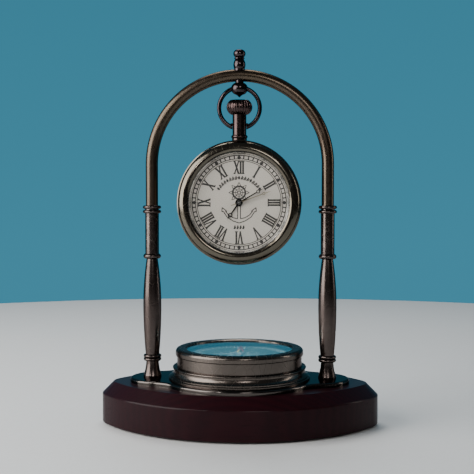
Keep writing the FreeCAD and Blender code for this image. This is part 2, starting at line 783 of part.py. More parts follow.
def make_crown():
    low = crown_radius * 0.62
    high = crown_radius * 0.8
    rim = crown_height - 0.6
    belly = crown_height * 0.52
    body = turned("crown", [
        at(stem_radius, 0), at(low, 0), via(crown_radius, belly), at(high, rim),
        at(high - 0.6, crown_height), at(0, crown_height), at(0, grip_depth), at(stem_radius, grip_depth),
    ])
    rise = crown_radius - low
    curve = (belly * belly + rise * rise) / (rise * 2)
    flute = body.newObject("PartDesign::SubtractiveTorus", "Flute")
    bind(flute, "Radius1", curve + flute_radius * 0.3)
    bind(flute, "Radius2", flute_radius)
    flute.Angle3 = 150
    stand = FreeCAD.Rotation(Vector(1, 0, 0), 90)
    flute.Placement.Rotation = stand.multiply(FreeCAD.Rotation(Vector(0, 0, 1), -flute.Angle3 / 2))
    bind(flute, "Placement.Base.x", crown_radius - curve)
    bind(flute, "Placement.Base.z", belly)
    flutes = body.newObject("PartDesign::PolarPattern", "Flutes")
    flutes.Originals = [flute]
    flutes.Axis = (body.Group[0], ["V_Axis"])
    flutes.Angle = 360
    bind(flutes, "Occurrences", flute_count)
    body.Tip = flutes
    place(body, z=pendant_top + pendant_gap)


def make_stem():
    tip = plate_disc_radius + 1.6
    top = pendant_top + pendant_gap + grip_depth - hub_height
    place(turned("setting_stem", [
        at(0, tip), at(stem_radius * 0.6, tip), at(stem_radius, tip + 0.6), at(stem_radius, top), at(0, top),
    ]), z=hub_height)
    low = pivot_height + 1.6
    ring = tube_profile(stem_radius + running_gap, pendant_bore - running_gap, 0, 1.2)
    place(turned("crown_gasket", ring), z=low)


# ---------------------------------------------------------------- watch case

def make_case_band():
    half = band_half_width
    recess = spigot_depth + 0.1
    step = case_bore + 1.05
    ledge = case_bore - 2.2
    ledge_back = recess - half
    body = turned("case_band", [
        at(step, -half), at(band_radius, -half), at(band_radius, half), at(step, half),
        at(step, half - recess), at(case_bore, half - recess), at(case_bore, ledge_back + 0.95),
        at(ledge, ledge_back + 0.95), at(ledge, ledge_back), at(step, ledge_back),
    ])
    stem_hole = body.newObject("PartDesign::SubtractiveCylinder", "StemHole")
    bind(stem_hole, "Radius", stem_radius + hole_gap)
    bind(stem_hole, "Height", case_radius)
    stem_hole.Placement.Rotation = FreeCAD.Rotation(Vector(1, 0, 0), -90)
    place_in_watch(body)


def make_front_bezel():
    bottom = band_half_width
    seat = bottom + bezel_height - 1.35
    top = bottom + bezel_height
    place_in_watch(turned("front_bezel", [
        at(case_bore, bottom - spigot_depth), at(case_bore + 1, bottom - spigot_depth),
        at(case_bore + 1, bottom),
        at(case_radius, bottom), at(case_radius, bottom + 0.9), at(case_radius - 0.6, bottom + 1.2),
        via(case_radius - 1.5, bottom + bezel_height * 0.68), at(case_radius - 3.8, top - 0.25),
        via(case_radius - 5.2, top), at(window_radius + 0.4, top - 0.5),
        at(window_radius, top - 0.9), at(window_radius, seat), at(case_bore, seat),
    ]))
    return seat


def make_back_cover():
    """A shallow dished cover that presses into the back of the band."""
    lip = -band_half_width
    back = lip - back_height
    inner = case_bore
    place_in_watch(turned("back_cover", [
        at(0, back), at(pole_flat, back), via(case_radius * 0.55, back + 0.7),
        at(case_radius - 4, back + 2.7),
        via(case_radius - 1.3, back + 3.9), at(case_radius, lip - 0.9), at(case_radius, lip),
        at(inner + 1, lip), at(inner + 1, lip + spigot_depth), at(inner, lip + spigot_depth),
        at(inner, back + 2.7 + back_wall), via(case_radius * 0.55, back + 0.7 + back_wall),
        at(pole_flat, back + back_wall), at(0, back + back_wall),
    ]))


def make_crystal_stack(seat):
    """Watch glass, its gasket, the bright ring and the dial, stacked behind the bezel's seat."""
    edge = case_bore - 0.1
    glass_back = seat - crystal_thickness
    place_in_watch(turned("crystal", [
        at(0, glass_back + crystal_dome), at(pole_flat, glass_back + crystal_dome),
        via(edge / 2, glass_back + crystal_dome * 0.75), at(edge, glass_back),
        at(edge, seat), at(window_radius - 0.4, seat),
        via(window_radius / 2, seat + crystal_dome * 0.75), at(pole_flat, seat + crystal_dome),
        at(0, seat + crystal_dome),
    ]))
    gasket_back = glass_back - gasket_thickness
    place_in_watch(turned("crystal_gasket", tube_profile(window_radius, edge, gasket_back, glass_back)))
    place_in_watch(turned("dial_ring", [
        at(ring_opening, dial_front), at(edge, dial_front), at(edge, gasket_back),
        at(window_radius - 0.4, gasket_back), at(ring_opening, dial_front + 0.4),
    ]))
    dial_back = dial_front - dial_thickness
    place_in_watch(turned("dial", tube_profile(hour_pipe_radius + 0.3, edge, dial_back, dial_front)))


# ---------------------------------------------------------------- movement

cannon_radius = 1.15
center_pipe_radius = 0.8
center_pipe_bore = arbor_radius + running_gap
hour_pipe_bore = cannon_radius + running_gap
hour_pipe_radius = 1.6
pipe_top = dial_front + 0.9
cannon_top = pipe_top + 0.8
plate_back = plate_disc_front - plate_disc_thickness
bridge_front = plate_back - bridge_gap
bridge_back = bridge_front - bridge_thickness
bridge_shift = arbor_distance / 2
minute_post_radius = 0.5
pillar_circle = bridge_radius - 1.8
pillar_radius = 1.3
bridge_screw_radius = 0.6
pillar_reach = pillar_circle * math.sqrt(0.5)
pillar_places = [(pillar_reach * sx, pillar_reach * sy - bridge_shift) for sx in (-1, 1) for sy in (-1, 1)]


def make_movement_ring():
    lip = plate_disc_radius - 1
    seat = plate_disc_radius + running_gap
    back = plate_back - 1
    body = turned("movement_ring", [
        at(lip, back), at(case_bore - 0.1, back), at(case_bore - 0.1, dial_front - dial_thickness),
        at(seat, dial_front - dial_thickness), at(seat, plate_back), at(lip, plate_back),
    ])
    stem_hole = body.newObject("PartDesign::SubtractiveCylinder", "StemHole")
    bind(stem_hole, "Radius", stem_radius + hole_gap)
    bind(stem_hole, "Height", case_radius)
    stem_hole.Placement.Rotation = FreeCAD.Rotation(Vector(1, 0, 0), -90)
    place_in_watch(body)


def make_main_plate():
    """Plate with a bush hole, a post for the minute wheel and a pivot hole for the third wheel."""
    body = new_body("main_plate")
    pad_circle(body, "Disc", 0, 0, plate_disc_radius, plate_disc_thickness)
    post_height = dial_front - dial_thickness - 0.2 - plate_disc_front
    root_level = plate_disc_thickness - 0.1
    pad_circle(body, "MinutePost", -arbor_distance, 0, minute_post_radius, post_height + 0.1, root_level)
    drill(body, "Bush", [(0, 0)], center_pipe_radius + running_gap)
    drill(body, "ThirdPivot", [(0, -arbor_distance)], arbor_radius + running_gap)
    drill(body, "ScrewHoles", pillar_places, bridge_screw_radius)
    place_in_watch(body, z=plate_back)


def make_train_bridge():
    body = new_body("train_bridge")
    pad_circle(body, "Plate", 0, -bridge_shift, bridge_radius, bridge_thickness)
    for number, (x, y) in enumerate(pillar_places, 1):
        length = bridge_gap + bridge_thickness / 2
        pad_circle(body, f"Pillar{number}", x, y, pillar_radius, length, bridge_thickness / 2)
    pivots = [(0, 0), (0, -arbor_distance)]
    drill(body, "Pivots", pivots, arbor_radius + running_gap)
    drill(body, "ScrewHoles", pillar_places, bridge_screw_radius)
    place_in_watch(body, z=bridge_back)


def make_bridge_screws():
    head = 0.5
    head_radius = 1.1
    length = bridge_gap + bridge_thickness + plate_disc_thickness
    front = (Vector(1, 0, 0), 90)
    screws = []
    for number, (x, y) in enumerate(pillar_places, 1):
        height = hub_height + y
        seat = (x, -bridge_back, height)
        shank = cylinder(f"BridgeShank{number}", bridge_screw_radius, length, seat, front)
        head_seat = (x, head - bridge_back, height)
        top = cylinder(f"BridgeHead{number}", head_radius, head, head_seat, front)
        screws.append(fused(f"BridgeScrew{number}", [shank, top]))
    group("bridge_screws", screws)


def make_center_wheel():
    """The minute arbor: a pipe through the main plate with the wheel behind it."""
    pitch = gear_pitch(CENTER_TEETH, THIRD_PINION_TEETH)
    back = plate_back - 0.7
    body = turned("center_wheel", [
        at(center_pipe_bore, back), at(root_radius(CENTER_TEETH, pitch), back),
        at(root_radius(CENTER_TEETH, pitch), back + 0.4), at(center_pipe_radius + 0.4, back + 0.4),
        at(center_pipe_radius + 0.4, plate_back - 0.05), at(center_pipe_radius, plate_back - 0.05),
        at(center_pipe_radius, cannon_top - 0.2), at(center_pipe_bore, cannon_top - 0.2),
    ])
    add_teeth(body, "Teeth", CENTER_TEETH, pitch, back, 0.4, turn=-90)
    place_in_watch(body)


def make_cannon_pinion():
    pitch = gear_pitch(CANNON_TEETH, MINUTE_WHEEL_TEETH)
    back = plate_disc_front + 0.1
    body = turned("cannon_pinion", [
        at(center_pipe_radius, back), at(root_radius(CANNON_TEETH, pitch), back),
        at(root_radius(CANNON_TEETH, pitch), back + 0.9), at(cannon_radius, back + 0.9),
        at(cannon_radius, cannon_top), at(center_pipe_radius, cannon_top),
    ])
    add_teeth(body, "Teeth", CANNON_TEETH, pitch, back, 0.9, turn=180)
    place_in_watch(body)


def make_minute_wheel():
    """Wheel and pinion of the motion work, on the main plate's post."""
    wheel = gear_pitch(MINUTE_WHEEL_TEETH, CANNON_TEETH)
    pinion = gear_pitch(MINUTE_PINION_TEETH, HOUR_TEETH)
    bore = minute_post_radius + running_gap
    back = plate_disc_front + 0.2
    step = back + 0.6
    front = step + 1
    body = turned("minute_wheel", [
        at(bore, back), at(root_radius(MINUTE_WHEEL_TEETH, wheel), back),
        at(root_radius(MINUTE_WHEEL_TEETH, wheel), step), at(root_radius(MINUTE_PINION_TEETH, pinion), step),
        at(root_radius(MINUTE_PINION_TEETH, pinion), front), at(bore, front),
    ])
    add_teeth(body, "WheelTeeth", MINUTE_WHEEL_TEETH, wheel, back, 0.6, turn=180 / MINUTE_WHEEL_TEETH)
    add_teeth(body, "PinionTeeth", MINUTE_PINION_TEETH, pinion, step, 1, turn=0)
    place_in_watch(body, x=-arbor_distance)


def make_hour_wheel():
    pitch = gear_pitch(HOUR_TEETH, MINUTE_PINION_TEETH)
    back = plate_disc_front + 1.15
    body = turned("hour_wheel", [
        at(hour_pipe_bore, back), at(root_radius(HOUR_TEETH, pitch), back),
        at(root_radius(HOUR_TEETH, pitch), back + 0.5), at(hour_pipe_radius, back + 0.5),
        at(hour_pipe_radius, pipe_top), at(hour_pipe_bore, pipe_top),
    ])
    add_teeth(body, "Teeth", HOUR_TEETH, pitch, back, 0.5, turn=180 + 180 / HOUR_TEETH)
    place_in_watch(body)


def make_third_wheel():
    """Arbor between the main plate and the bridge, with a pinion in front and a wheel behind."""
    wheel = gear_pitch(THIRD_TEETH, SECONDS_PINION_TEETH)
    pinion = gear_pitch(THIRD_PINION_TEETH, CENTER_TEETH)
    pinion_front = plate_back - 0.15
    wheel_front = plate_back - 1.2
    wheel_back = wheel_front - 0.4
    body = turned("third_wheel", [
        at(0, bridge_back + 0.1), at(arbor_radius, bridge_back + 0.1), at(arbor_radius, bridge_front + 0.1),
        at(arbor_radius + 0.2, bridge_front + 0.1), at(arbor_radius + 0.2, wheel_back),
        at(root_radius(THIRD_TEETH, wheel), wheel_back), at(root_radius(THIRD_TEETH, wheel), wheel_front),
        at(root_radius(THIRD_PINION_TEETH, pinion), wheel_front),
        at(root_radius(THIRD_PINION_TEETH, pinion), pinion_front),
        at(arbor_radius, pinion_front), at(arbor_radius, plate_disc_front - 0.3),
        at(0, plate_disc_front - 0.3),
    ])
    add_teeth(body, "WheelTeeth", THIRD_TEETH, wheel, wheel_back, 0.4, turn=90)
    half_tooth = 180 / THIRD_PINION_TEETH
    add_teeth(body, "PinionTeeth", THIRD_PINION_TEETH, pinion, wheel_front, 1.05, turn=90 + half_tooth)
    place_in_watch(body, y=-arbor_distance)


def make_seconds_wheel():
    """Arbor from the bridge through the minute pipe to the seconds hand."""
    wheel_pitch = 4.3
    pinion = gear_pitch(SECONDS_PINION_TEETH, THIRD_TEETH)
    pinion_front = plate_back - 1.1
    wheel_front = pinion_front - 0.9
    wheel_back = wheel_front - 0.4
    root_of_wheel = root_radius(SECONDS_TEETH, size(wheel_pitch))
    body = turned("seconds_wheel", [
        at(0, bridge_back + 0.1), at(arbor_radius, bridge_back + 0.1), at(arbor_radius, bridge_front + 0.1),
        at(arbor_radius + 0.2, bridge_front + 0.1), at(arbor_radius + 0.2, wheel_back),
        at(root_of_wheel, wheel_back), at(root_of_wheel, wheel_front),
        at(root_radius(SECONDS_PINION_TEETH, pinion), wheel_front),
        at(root_radius(SECONDS_PINION_TEETH, pinion), pinion_front),
        at(arbor_radius, pinion_front), at(arbor_radius, cannon_top + 0.5), at(0, cannon_top + 0.5),
    ])
    add_teeth(body, "WheelTeeth", SECONDS_TEETH, size(wheel_pitch), wheel_back, 0.4)
    half_tooth = 180 / SECONDS_PINION_TEETH
    add_teeth(body, "PinionTeeth", SECONDS_PINION_TEETH, pinion, wheel_front, 0.9, turn=half_tooth - 90)
    place_in_watch(body)


def make_motor():
    """A coil on a bent core beside the train, and the core's flat arms."""
    across = (Vector(0, 1, 0), 90)
    height = hub_height + plate_disc_radius * 0.7
    depth = 2.2 - plate_back
    half = 7.5
    core_radius = 0.6
    winding_radius = 1.65
    winding = cylinder("Winding", winding_radius, half * 2, (-half, depth, height), across)
    tunnel = cylinder("WindingBore", core_radius, half * 2, (-half, depth, height), across)
    node(cut_from("motor_coil", winding, tunnel))
    core = cylinder("Core", core_radius, half * 2, (-half, depth, height), across)
    arms = box("CoreArms", half * 2 + 3.2, 0.5, 3.4, (0, 0.25 - plate_back, height - 1.7))
    ends = [
        box(f"CoreEnd{name}", 1.6, 2.9, 1.6, (side * (half + 0.8), 1.45 - plate_back, height - 0.8))
        for side, name in ((-1, "Left"), (1, "Right"))
    ]
    node(fused("motor_stator", [core, arms, *ends]))


def make_electronics():
    board_back = bridge_back - 0.7 - board_thickness
    board = tube_profile(0, board_radius, board_back, board_back + board_thickness)
    place_in_watch(turned("circuit_board", board))
    x = -(board_radius * 0.4)
    battery_back = board_back - battery_height
    can = [
        at(0, 0), at(battery_radius, 0), at(battery_radius, battery_height * 0.8),
        at(battery_radius * 0.85, battery_height), at(0, battery_height),
    ]
    place_in_watch(turned("battery", can), x=x, z=battery_back)
    reach = battery_radius * 2 + 2
    strap_thickness = 0.3
    width = 3
    low = hub_height - width / 2
    strap = box("ClipStrap", reach, strap_thickness, width, (x, strap_thickness / 2 - battery_back, low))
    legs = [
        box(f"ClipLeg{name}", 0.6, battery_height + strap_thickness, width,
            (x + side * (reach / 2 - 0.3), (battery_height + strap_thickness) / 2 - board_back, low))
        for side, name in ((-1, "Left"), (1, "Right"))
    ]
    node(fused("battery_clip", [strap, *legs]))


# ---------------------------------------------------------------- hands

def make_hand(label, length, root_width, eye_place, eye_radius, tail, boss_radius, bore, level, turn):
    """A tapered hand with a round eye near its tip, a boss at its root and a tail behind."""
    body = new_body(label)
    half = root_width / 2
    pad(body, "Blade", [
        at(-half * 0.8, -tail), at(half * 0.8, -tail), at(half, 0), at(half * 0.6, length * 0.85),
        at(0, length), at(-half * 0.6, length * 0.85), at(-half, 0),
    ], hand_thickness)
    pad_circle(body, "EyeDisc", 0, eye_place, eye_radius, hand_thickness)
    pad_circle(body, "Boss", 0, 0, boss_radius, hand_thickness)
    drill(body, "Eye", [(0, eye_place)], eye_radius * 0.6)
    drill(body, "Bore", [(0, 0)], bore)
    place_in_watch(body, z=level, turn=-turn)


def make_hands():
    make_hand("hour_hand", hour_hand_length, 1.1, hour_hand_length * 0.74, 1.35, 0.5,
              2.3, hour_pipe_radius, pipe_top - hand_thickness, HOUR_HAND_TURN)
    make_hand("minute_hand", minute_hand_length, 0.9, minute_hand_length * 0.77, 1.15, 0.5,
              1.9, cannon_radius, cannon_top - hand_thickness, MINUTE_HAND_TURN)
    make_hand("seconds_hand", seconds_hand_length, 0.5, seconds_hand_length * 0.75, 0.85, 5,
              1.1, arbor_radius, cannon_top + 0.15, SECONDS_HAND_TURN)


# ---------------------------------------------------------------- compass

glass_seat = drum_height + compass_gasket_thickness
glass_top = glass_seat + compass_glass_thickness
rim_radius = drum_radius - 0.8
rim_inside = drum_radius - drum_wall


def make_compass_case():
    """Skirt, drum, gasket, glass and bezel, each with its height above the base plate."""
    flare = skirt_height * 0.84
    neck = drum_radius + 1.9
    step = skirt_radius - 0.9
    low_step = skirt_height * 0.2
    high_step = skirt_height * 0.28
    place(turned("compass_skirt", [
        at(drum_radius, 0), at(skirt_radius, 0), at(skirt_radius, 1), at(step, low_step), at(step, high_step),
        via((neck + step) / 2 - 0.5, skirt_height * 0.46), at(neck, flare),
        *bead(neck + 0.8, flare, skirt_height), at(drum_radius, skirt_height),
    ]), z=plate_top)
    shoulder = drum_height - 1.5
    body = turned("compass_drum", [
        at(0, 0), at(drum_radius, 0), at(drum_radius, shoulder), at(rim_radius, shoulder),
        at(rim_radius, drum_height), at(rim_inside, drum_height), at(rim_inside, drum_floor),
        at(0, drum_floor),
    ])
    drill(body, "ScrewHoles", screw_places, screw_radius + hole_gap)
    place(body, z=plate_top)
    glass_edge = rim_radius - 0.2
    gasket = tube_profile(rim_inside - 1.5, glass_edge, drum_height, glass_seat)
    place(turned("compass_gasket", gasket), z=plate_top)
    place(turned("compass_glass", tube_profile(0, glass_edge, glass_seat, glass_top)), z=plate_top)
    thread = rim_radius + running_gap
    top = glass_top + compass_lip
    outside = compass_bezel_radius
    place(turned("compass_bezel", [
        at(thread, shoulder), at(outside - 0.3, shoulder), at(outside, shoulder + 0.5), at(outside, top - 2),
        via(outside - 0.6, top - 0.6), at(outside - 2, top), at(compass_window + 1.1, top),
        at(compass_window, top - 0.5), at(compass_window, glass_top), at(thread, glass_top),
    ]), z=plate_top)


def make_compass_movement():
    """Card, pivot and the needle that turns on the pivot's point."""
    needle_top = needle_height + needle_thickness
    tip = needle_top + 0.3
    post = 1.2
    column = 3
    flange = 8
    pivot_radius = 0.5
    place(turned("compass_pivot", [
        at(0, drum_floor), at(flange, drum_floor), at(flange, drum_floor + 1), at(column, drum_floor + 1),
        at(column, card_height - 1), at(flange, card_height - 1), at(flange, card_height),
        at(post, card_height), at(post, needle_height - 0.9), at(pivot_radius, needle_height - 0.5),
        at(pivot_radius, tip - 0.3), at(0, tip),
    ]), z=plate_top)
    card = tube_profile(post, rim_inside - 0.4, card_height, card_height + card_thickness)
    place(turned("compass_card", card), z=plate_top)
    cap_radius = 2
    half = 2.6
    needle = new_body("compass_needle")
    pad(needle, "Lozenge", [
        at(0, -needle_length), at(half, 0), at(0, needle_length), at(-half, 0),
    ], needle_thickness)
    pad_circle(needle, "Hub", 0, 0, cap_radius + 1.2, needle_thickness)
    drill(needle, "CapHole", [(0, 0)], cap_radius)
    place(needle, z=plate_top + needle_height)
    bore = pivot_radius + running_gap
    place(turned("needle_cap", [
        at(bore, needle_height - 0.3), at(cap_radius, needle_height - 0.3), at(cap_radius, needle_top),
        via(cap_radius * 0.8, tip + 0.3), at(small_pole_flat, tip + 0.9), at(0, tip + 0.9),
        at(0, tip + running_gap), at(bore, tip - 0.2),
    ]), z=plate_top)


def make_compass_screws():
    head_height = 1.6
    screws = []
    seat = plate_top + drum_floor
    slot_size = 0.7
    length = screw_length + drum_floor
    for number, (x, y) in enumerate(screw_places, 1):
        shank = cylinder(f"CompassShank{number}", screw_radius, length, (x, y, seat - length))
        head = cylinder(f"CompassHead{number}", screw_radius * 1.9, head_height, (x, y, seat))
        top = seat + head_height - slot_size
        slot = box(f"CompassSlot{number}", screw_radius * 4, slot_size, slot_size, (x, y, top))
        screws.append(cut_from(f"CompassScrew{number}", fused(f"CompassBlank{number}", [shank, head]), slot))
    group("compass_screws", screws)


# ---------------------------------------------------------------- build, check and write

def make_everything():
    document.recompute()
    make_felt_pad()
    make_wood_base()
    make_base_plate()
    make_posts()
    make_arch_tube()
    make_studs()
    make_finial()
    make_hanger()
    make_bow()
    make_pendant()
    make_crown()
    make_stem()
    make_case_band()
    seat = make_front_bezel()
    make_back_cover()
    make_crystal_stack(seat)
    make_movement_ring()
    make_main_plate()
    make_train_bridge()
    make_bridge_screws()
    make_center_wheel()
    make_cannon_pinion()
    make_minute_wheel()
    make_hour_wheel()
    make_third_wheel()
    make_seconds_wheel()
    make_motor()
    make_electronics()
    make_hands()
    make_compass_case()
    make_compass_movement()
    make_compass_screws()
    document.recompute()


def owner(item):
    """The label of the sub-part that an object belongs to."""
    body = item.getParentGeoFeatureGroup()
    return f"{body.Label}/{item.Label}" if body else item.Label


def check_document():
    failed = [owner(item) for item in document.Objects if {"Invalid", "Error"} & set(item.State)]
    broken = [item.Label for item in nodes if item.Shape.isNull() or not item.Shape.isValid()]
    if failed or broken:
        raise RuntimeError(f"failed objects {failed}, invalid shapes {broken}")


def write_parts():
    os.makedirs("parts", exist_ok=True)
    for item in nodes:
        item.Shape.exportStep(f"parts/{item.Label}.step")
        print(f"{item.Label}: {len(item.Shape.Solids)} solid(s), {item.Shape.Volume:.2f} mm3")


make_everything()
check_document()
write_parts()
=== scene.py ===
"""Looks of a ship's deck clock: a pocket-watch clock that hangs from an arch over a compass on a wooden base.

Lengths are in millimetres until a piece is placed, and the part's own frame is in metres: +Z up, the dial
faces -Y. Printing on the dial and the compass card is drawn flat, x to the right and y up, and is then laid
on its face.
"""
import logging
import math
from dataclasses import dataclass
from enum import Enum
from typing import ClassVar

import bmesh
import bpy
from mathutils import Matrix, Vector


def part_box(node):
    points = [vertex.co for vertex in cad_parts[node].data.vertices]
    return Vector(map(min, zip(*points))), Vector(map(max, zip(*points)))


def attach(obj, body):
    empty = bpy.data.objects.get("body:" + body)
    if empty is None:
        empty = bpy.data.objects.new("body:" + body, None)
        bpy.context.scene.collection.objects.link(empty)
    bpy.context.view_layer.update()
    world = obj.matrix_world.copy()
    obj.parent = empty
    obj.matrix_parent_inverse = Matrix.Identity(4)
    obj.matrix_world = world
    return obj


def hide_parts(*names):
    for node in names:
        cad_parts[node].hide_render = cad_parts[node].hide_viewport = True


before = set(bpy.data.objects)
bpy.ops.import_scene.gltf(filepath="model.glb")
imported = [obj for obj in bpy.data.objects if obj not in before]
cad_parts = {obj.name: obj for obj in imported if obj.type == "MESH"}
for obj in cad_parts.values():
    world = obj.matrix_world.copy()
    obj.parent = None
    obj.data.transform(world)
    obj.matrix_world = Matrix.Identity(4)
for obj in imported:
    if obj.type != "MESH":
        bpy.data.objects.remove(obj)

LOG = logging.getLogger("deck_clock")
MM = 0.001
Colour = tuple[float, float, float]
Point = tuple[float, float]
Socket = bpy.types.NodeSocket
Material = bpy.types.Material
Piece = bpy.types.Object
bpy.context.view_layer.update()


# ---------------------------------------------------------------- node trees


class Graph:
    """A short way to add the nodes of one tree and join them."""

    def __init__(self, tree: bpy.types.NodeTree) -> None:
        """Works on the node tree of a material, a world or a group."""
        self.tree = tree

    def add(self, kind: str, settings: dict | None = None, *lead: object, **inputs: object) -> bpy.types.Node:
        """Adds a node, sets its properties and fills or links its inputs.

        Args:
            kind: The node's type without the "ShaderNode" in front.
            settings: Properties of the node itself.
            *lead: Values or sockets for its first inputs, in their order.
            **inputs: Input sockets by name, with _ for a space: a value to set, or a socket to link from.

        Returns:
            The new node.
        """
        prefix = "" if kind.startswith("NodeGroup") else "ShaderNode"
        node = self.tree.nodes.new(prefix + kind)
        for name, value in (settings or {}).items():
            setattr(node, name, value)
        for socket, value in zip(node.inputs, lead):
            self.fill(socket, value)
        for name, value in inputs.items():
            self.fill(node.inputs[name.replace("_", " ")], value)
        return node

    def fill(self, socket: Socket, value: object) -> None:
        """Links a socket to another socket, or sets its own value.

        Args:
            socket: The input to fill.
            value: An output socket, a number, or a colour or vector of three numbers.
        """
        if isinstance(value, Socket):
            self.tree.links.new(value, socket)
        elif socket.type == "RGBA":
            socket.default_value = (*value, 1.0)
        else:
            socket.default_value = value

    def math(self, operation: str, first: object, second: object = 0.0) -> Socket:
        """Adds a Math node.

        Args:
            operation: The operation's identifier.
            first: First value or socket.
            second: Second value or socket.

        Returns:
            The result's socket.
        """
        return self.add("Math", {"operation": operation}, first, second).outputs[0]

    def remap(self, value: object, low: float, high: float, new_low: float, new_high: float) -> Socket:
        """Stretches a value from one range to another and holds it there.

        Args:
            value: Value or socket to stretch.
            low: Start of its own range.
            high: End of its own range.
            new_low: What the start becomes.
            new_high: What the end becomes.

        Returns:
            The result's socket.
        """
        return self.add("MapRange", None, value, low, high, new_low, new_high).outputs[0]

    def mix(self, factor: object, first: object, second: object) -> Socket:
        """Mixes two colours.

        Args:
            factor: How much of the second colour shows.
            first: First colour or socket.
            second: Second colour or socket.

        Returns:
            The mixed colour's socket.
        """
        node = self.add("Mix", {"data_type": "RGBA"}, factor)
        self.fill(node.inputs[6], first)
        self.fill(node.inputs[7], second)
        return node.outputs[2]

    def stretched(self, vector: Socket, scale: tuple[float, float, float]) -> Socket:
        """Scales a position by a factor along each of x, y and z."""
        return self.add("Mapping", Vector=vector, Scale=scale).outputs[0]


class Effect(Enum):
    """Surface effects that several finishes share, each a node group."""

    PATINA = "Patina"
    EDGE_WEAR = "Edge wear"
    HAIRLINES = "Hairlines"
    GRAIN = "Wood grain"
    SPECKLE = "Speckle"


def new_group(effect: Effect, inputs: dict[str, float | str], outputs: list[str]) -> tuple:
    """Makes an empty node group with named sockets.

    Args:
        effect: Which effect the group is for.
        inputs: Name of each input, with its default number, or "vector".
        outputs: Name of each output value.

    Returns:
        The group, a Graph on it, its input node and its output node.
    """
    group = bpy.data.node_groups.new(effect.value, "ShaderNodeTree")
    for name, default in inputs.items():
        kind = "NodeSocketVector" if default == "vector" else "NodeSocketFloat"
        socket = group.interface.new_socket(name, in_out="INPUT", socket_type=kind)
        if default != "vector":
            socket.default_value = default
    for name in outputs:
        group.interface.new_socket(name, in_out="OUTPUT", socket_type="NodeSocketFloat")
    graph = Graph(group)
    return group, graph, graph.add("NodeGroupInput").outputs, graph.add("NodeGroupOutput").inputs


def build_patina() -> bpy.types.NodeTree:
    """Soft cloudy blotches with finer mottling in them, as on handled bronze."""
    group, graph, given, result = new_group(
        Effect.PATINA, {"Vector": "vector", "Scale": 100.0, "Contrast": 0.5}, ["Mask"])
    clouds = graph.add("TexNoise", Vector=given["Vector"], Scale=given["Scale"], Detail=5.0, Roughness=0.62)
    fine = graph.math("MULTIPLY", given["Scale"], 7.3)
    mottle = graph.add("TexNoise", Vector=given["Vector"], Scale=fine, Detail=3.0, Roughness=0.5)
    total = graph.math("ADD", graph.math("MULTIPLY", clouds.outputs[0], 0.75),
                       graph.math("MULTIPLY", mottle.outputs[0], 0.25))
    low = graph.math("SUBTRACT", 0.5, graph.math("MULTIPLY", given["Contrast"], 0.2))
    high = graph.math("ADD", 0.52, graph.math("MULTIPLY", given["Contrast"], 0.2))
    graph.fill(result["Mask"], graph.remap(total, low, high, 0.0, 1.0))
    return group


def build_edge_wear() -> bpy.types.NodeTree:
    """Convex edges, where the finish rubs through, found by looking for the surface close behind."""
    group, graph, given, result = new_group(
        Effect.EDGE_WEAR, {"Vector": "vector", "Reach": 0.0007, "Amount": 1.0}, ["Mask"])
    inside = graph.add("AmbientOcclusion", {"inside": True, "only_local": True, "samples": 12},
                       Distance=given["Reach"])
    open_side = graph.math("SUBTRACT", 1.0, inside.outputs["AO"])
    rub = graph.add("TexNoise", Vector=given["Vector"], Scale=420.0, Detail=4.0)
    patchy = graph.math("MULTIPLY", open_side, graph.remap(rub.outputs[0], 0.35, 0.6, 0.45, 1.0))
    worn = graph.remap(patchy, 0.25, 0.6, 0.0, 1.0)
    graph.fill(result["Mask"], graph.math("MULTIPLY", worn, given["Amount"]))
    return group


def build_hairlines() -> bpy.types.NodeTree:
    """Fine turning marks and small scratches, as a height and as a mask."""
    group, graph, given, result = new_group(
        Effect.HAIRLINES, {"Vector": "vector", "Scale": 300.0}, ["Height", "Mask"])
    lines = graph.add("TexNoise", Vector=graph.stretched(given["Vector"], (0.25, 0.25, 6.0)),
                      Scale=given["Scale"], Detail=2.0, Roughness=0.6)
    nicks = graph.add("TexVoronoi", {"feature": "DISTANCE_TO_EDGE"},
                      Vector=graph.stretched(given["Vector"], (1.0, 0.35, 0.6)), Scale=given["Scale"])
    nick = graph.remap(nicks.outputs["Distance"], 0.0, 0.02, 1.0, 0.0)
    graph.fill(result["Height"], graph.math("SUBTRACT", lines.outputs[0], graph.math("MULTIPLY", nick, 0.35)))
    graph.fill(result["Mask"], nick)
    return group


def build_grain() -> bpy.types.NodeTree:
    """Straight mahogany grain along x, with its short dark pores."""
    group, graph, given, result = new_group(
        Effect.GRAIN, {"Vector": "vector", "Scale": 40.0}, ["Figure", "Pores"])
    bent = graph.add("TexNoise", Vector=graph.stretched(given["Vector"], (0.5, 2.0, 2.0)),
                     Scale=given["Scale"], Detail=2.0)
    bands = graph.add("TexWave", {"bands_direction": "Y", "wave_profile": "SIN"},
                      Vector=graph.stretched(given["Vector"], (0.25, 3.0, 2.0)), Scale=given["Scale"],
                      Distortion=5.0, Detail=3.0, Detail_Scale=1.2, Detail_Roughness=0.6)
    figure = graph.math("ADD", graph.math("MULTIPLY", bands.outputs[1], 0.6),
                        graph.math("MULTIPLY", bent.outputs[0], 0.5))
    graph.fill(result["Figure"], graph.remap(figure, 0.2, 0.95, 0.0, 1.0))
    fine = graph.math("MULTIPLY", given["Scale"], 16.0)
    pores = graph.add("TexNoise", Vector=graph.stretched(given["Vector"], (0.08, 1.6, 1.6)), Scale=fine,
                      Detail=2.0)
    graph.fill(result["Pores"], graph.remap(pores.outputs[0], 0.58, 0.7, 0.0, 1.0))
    return group


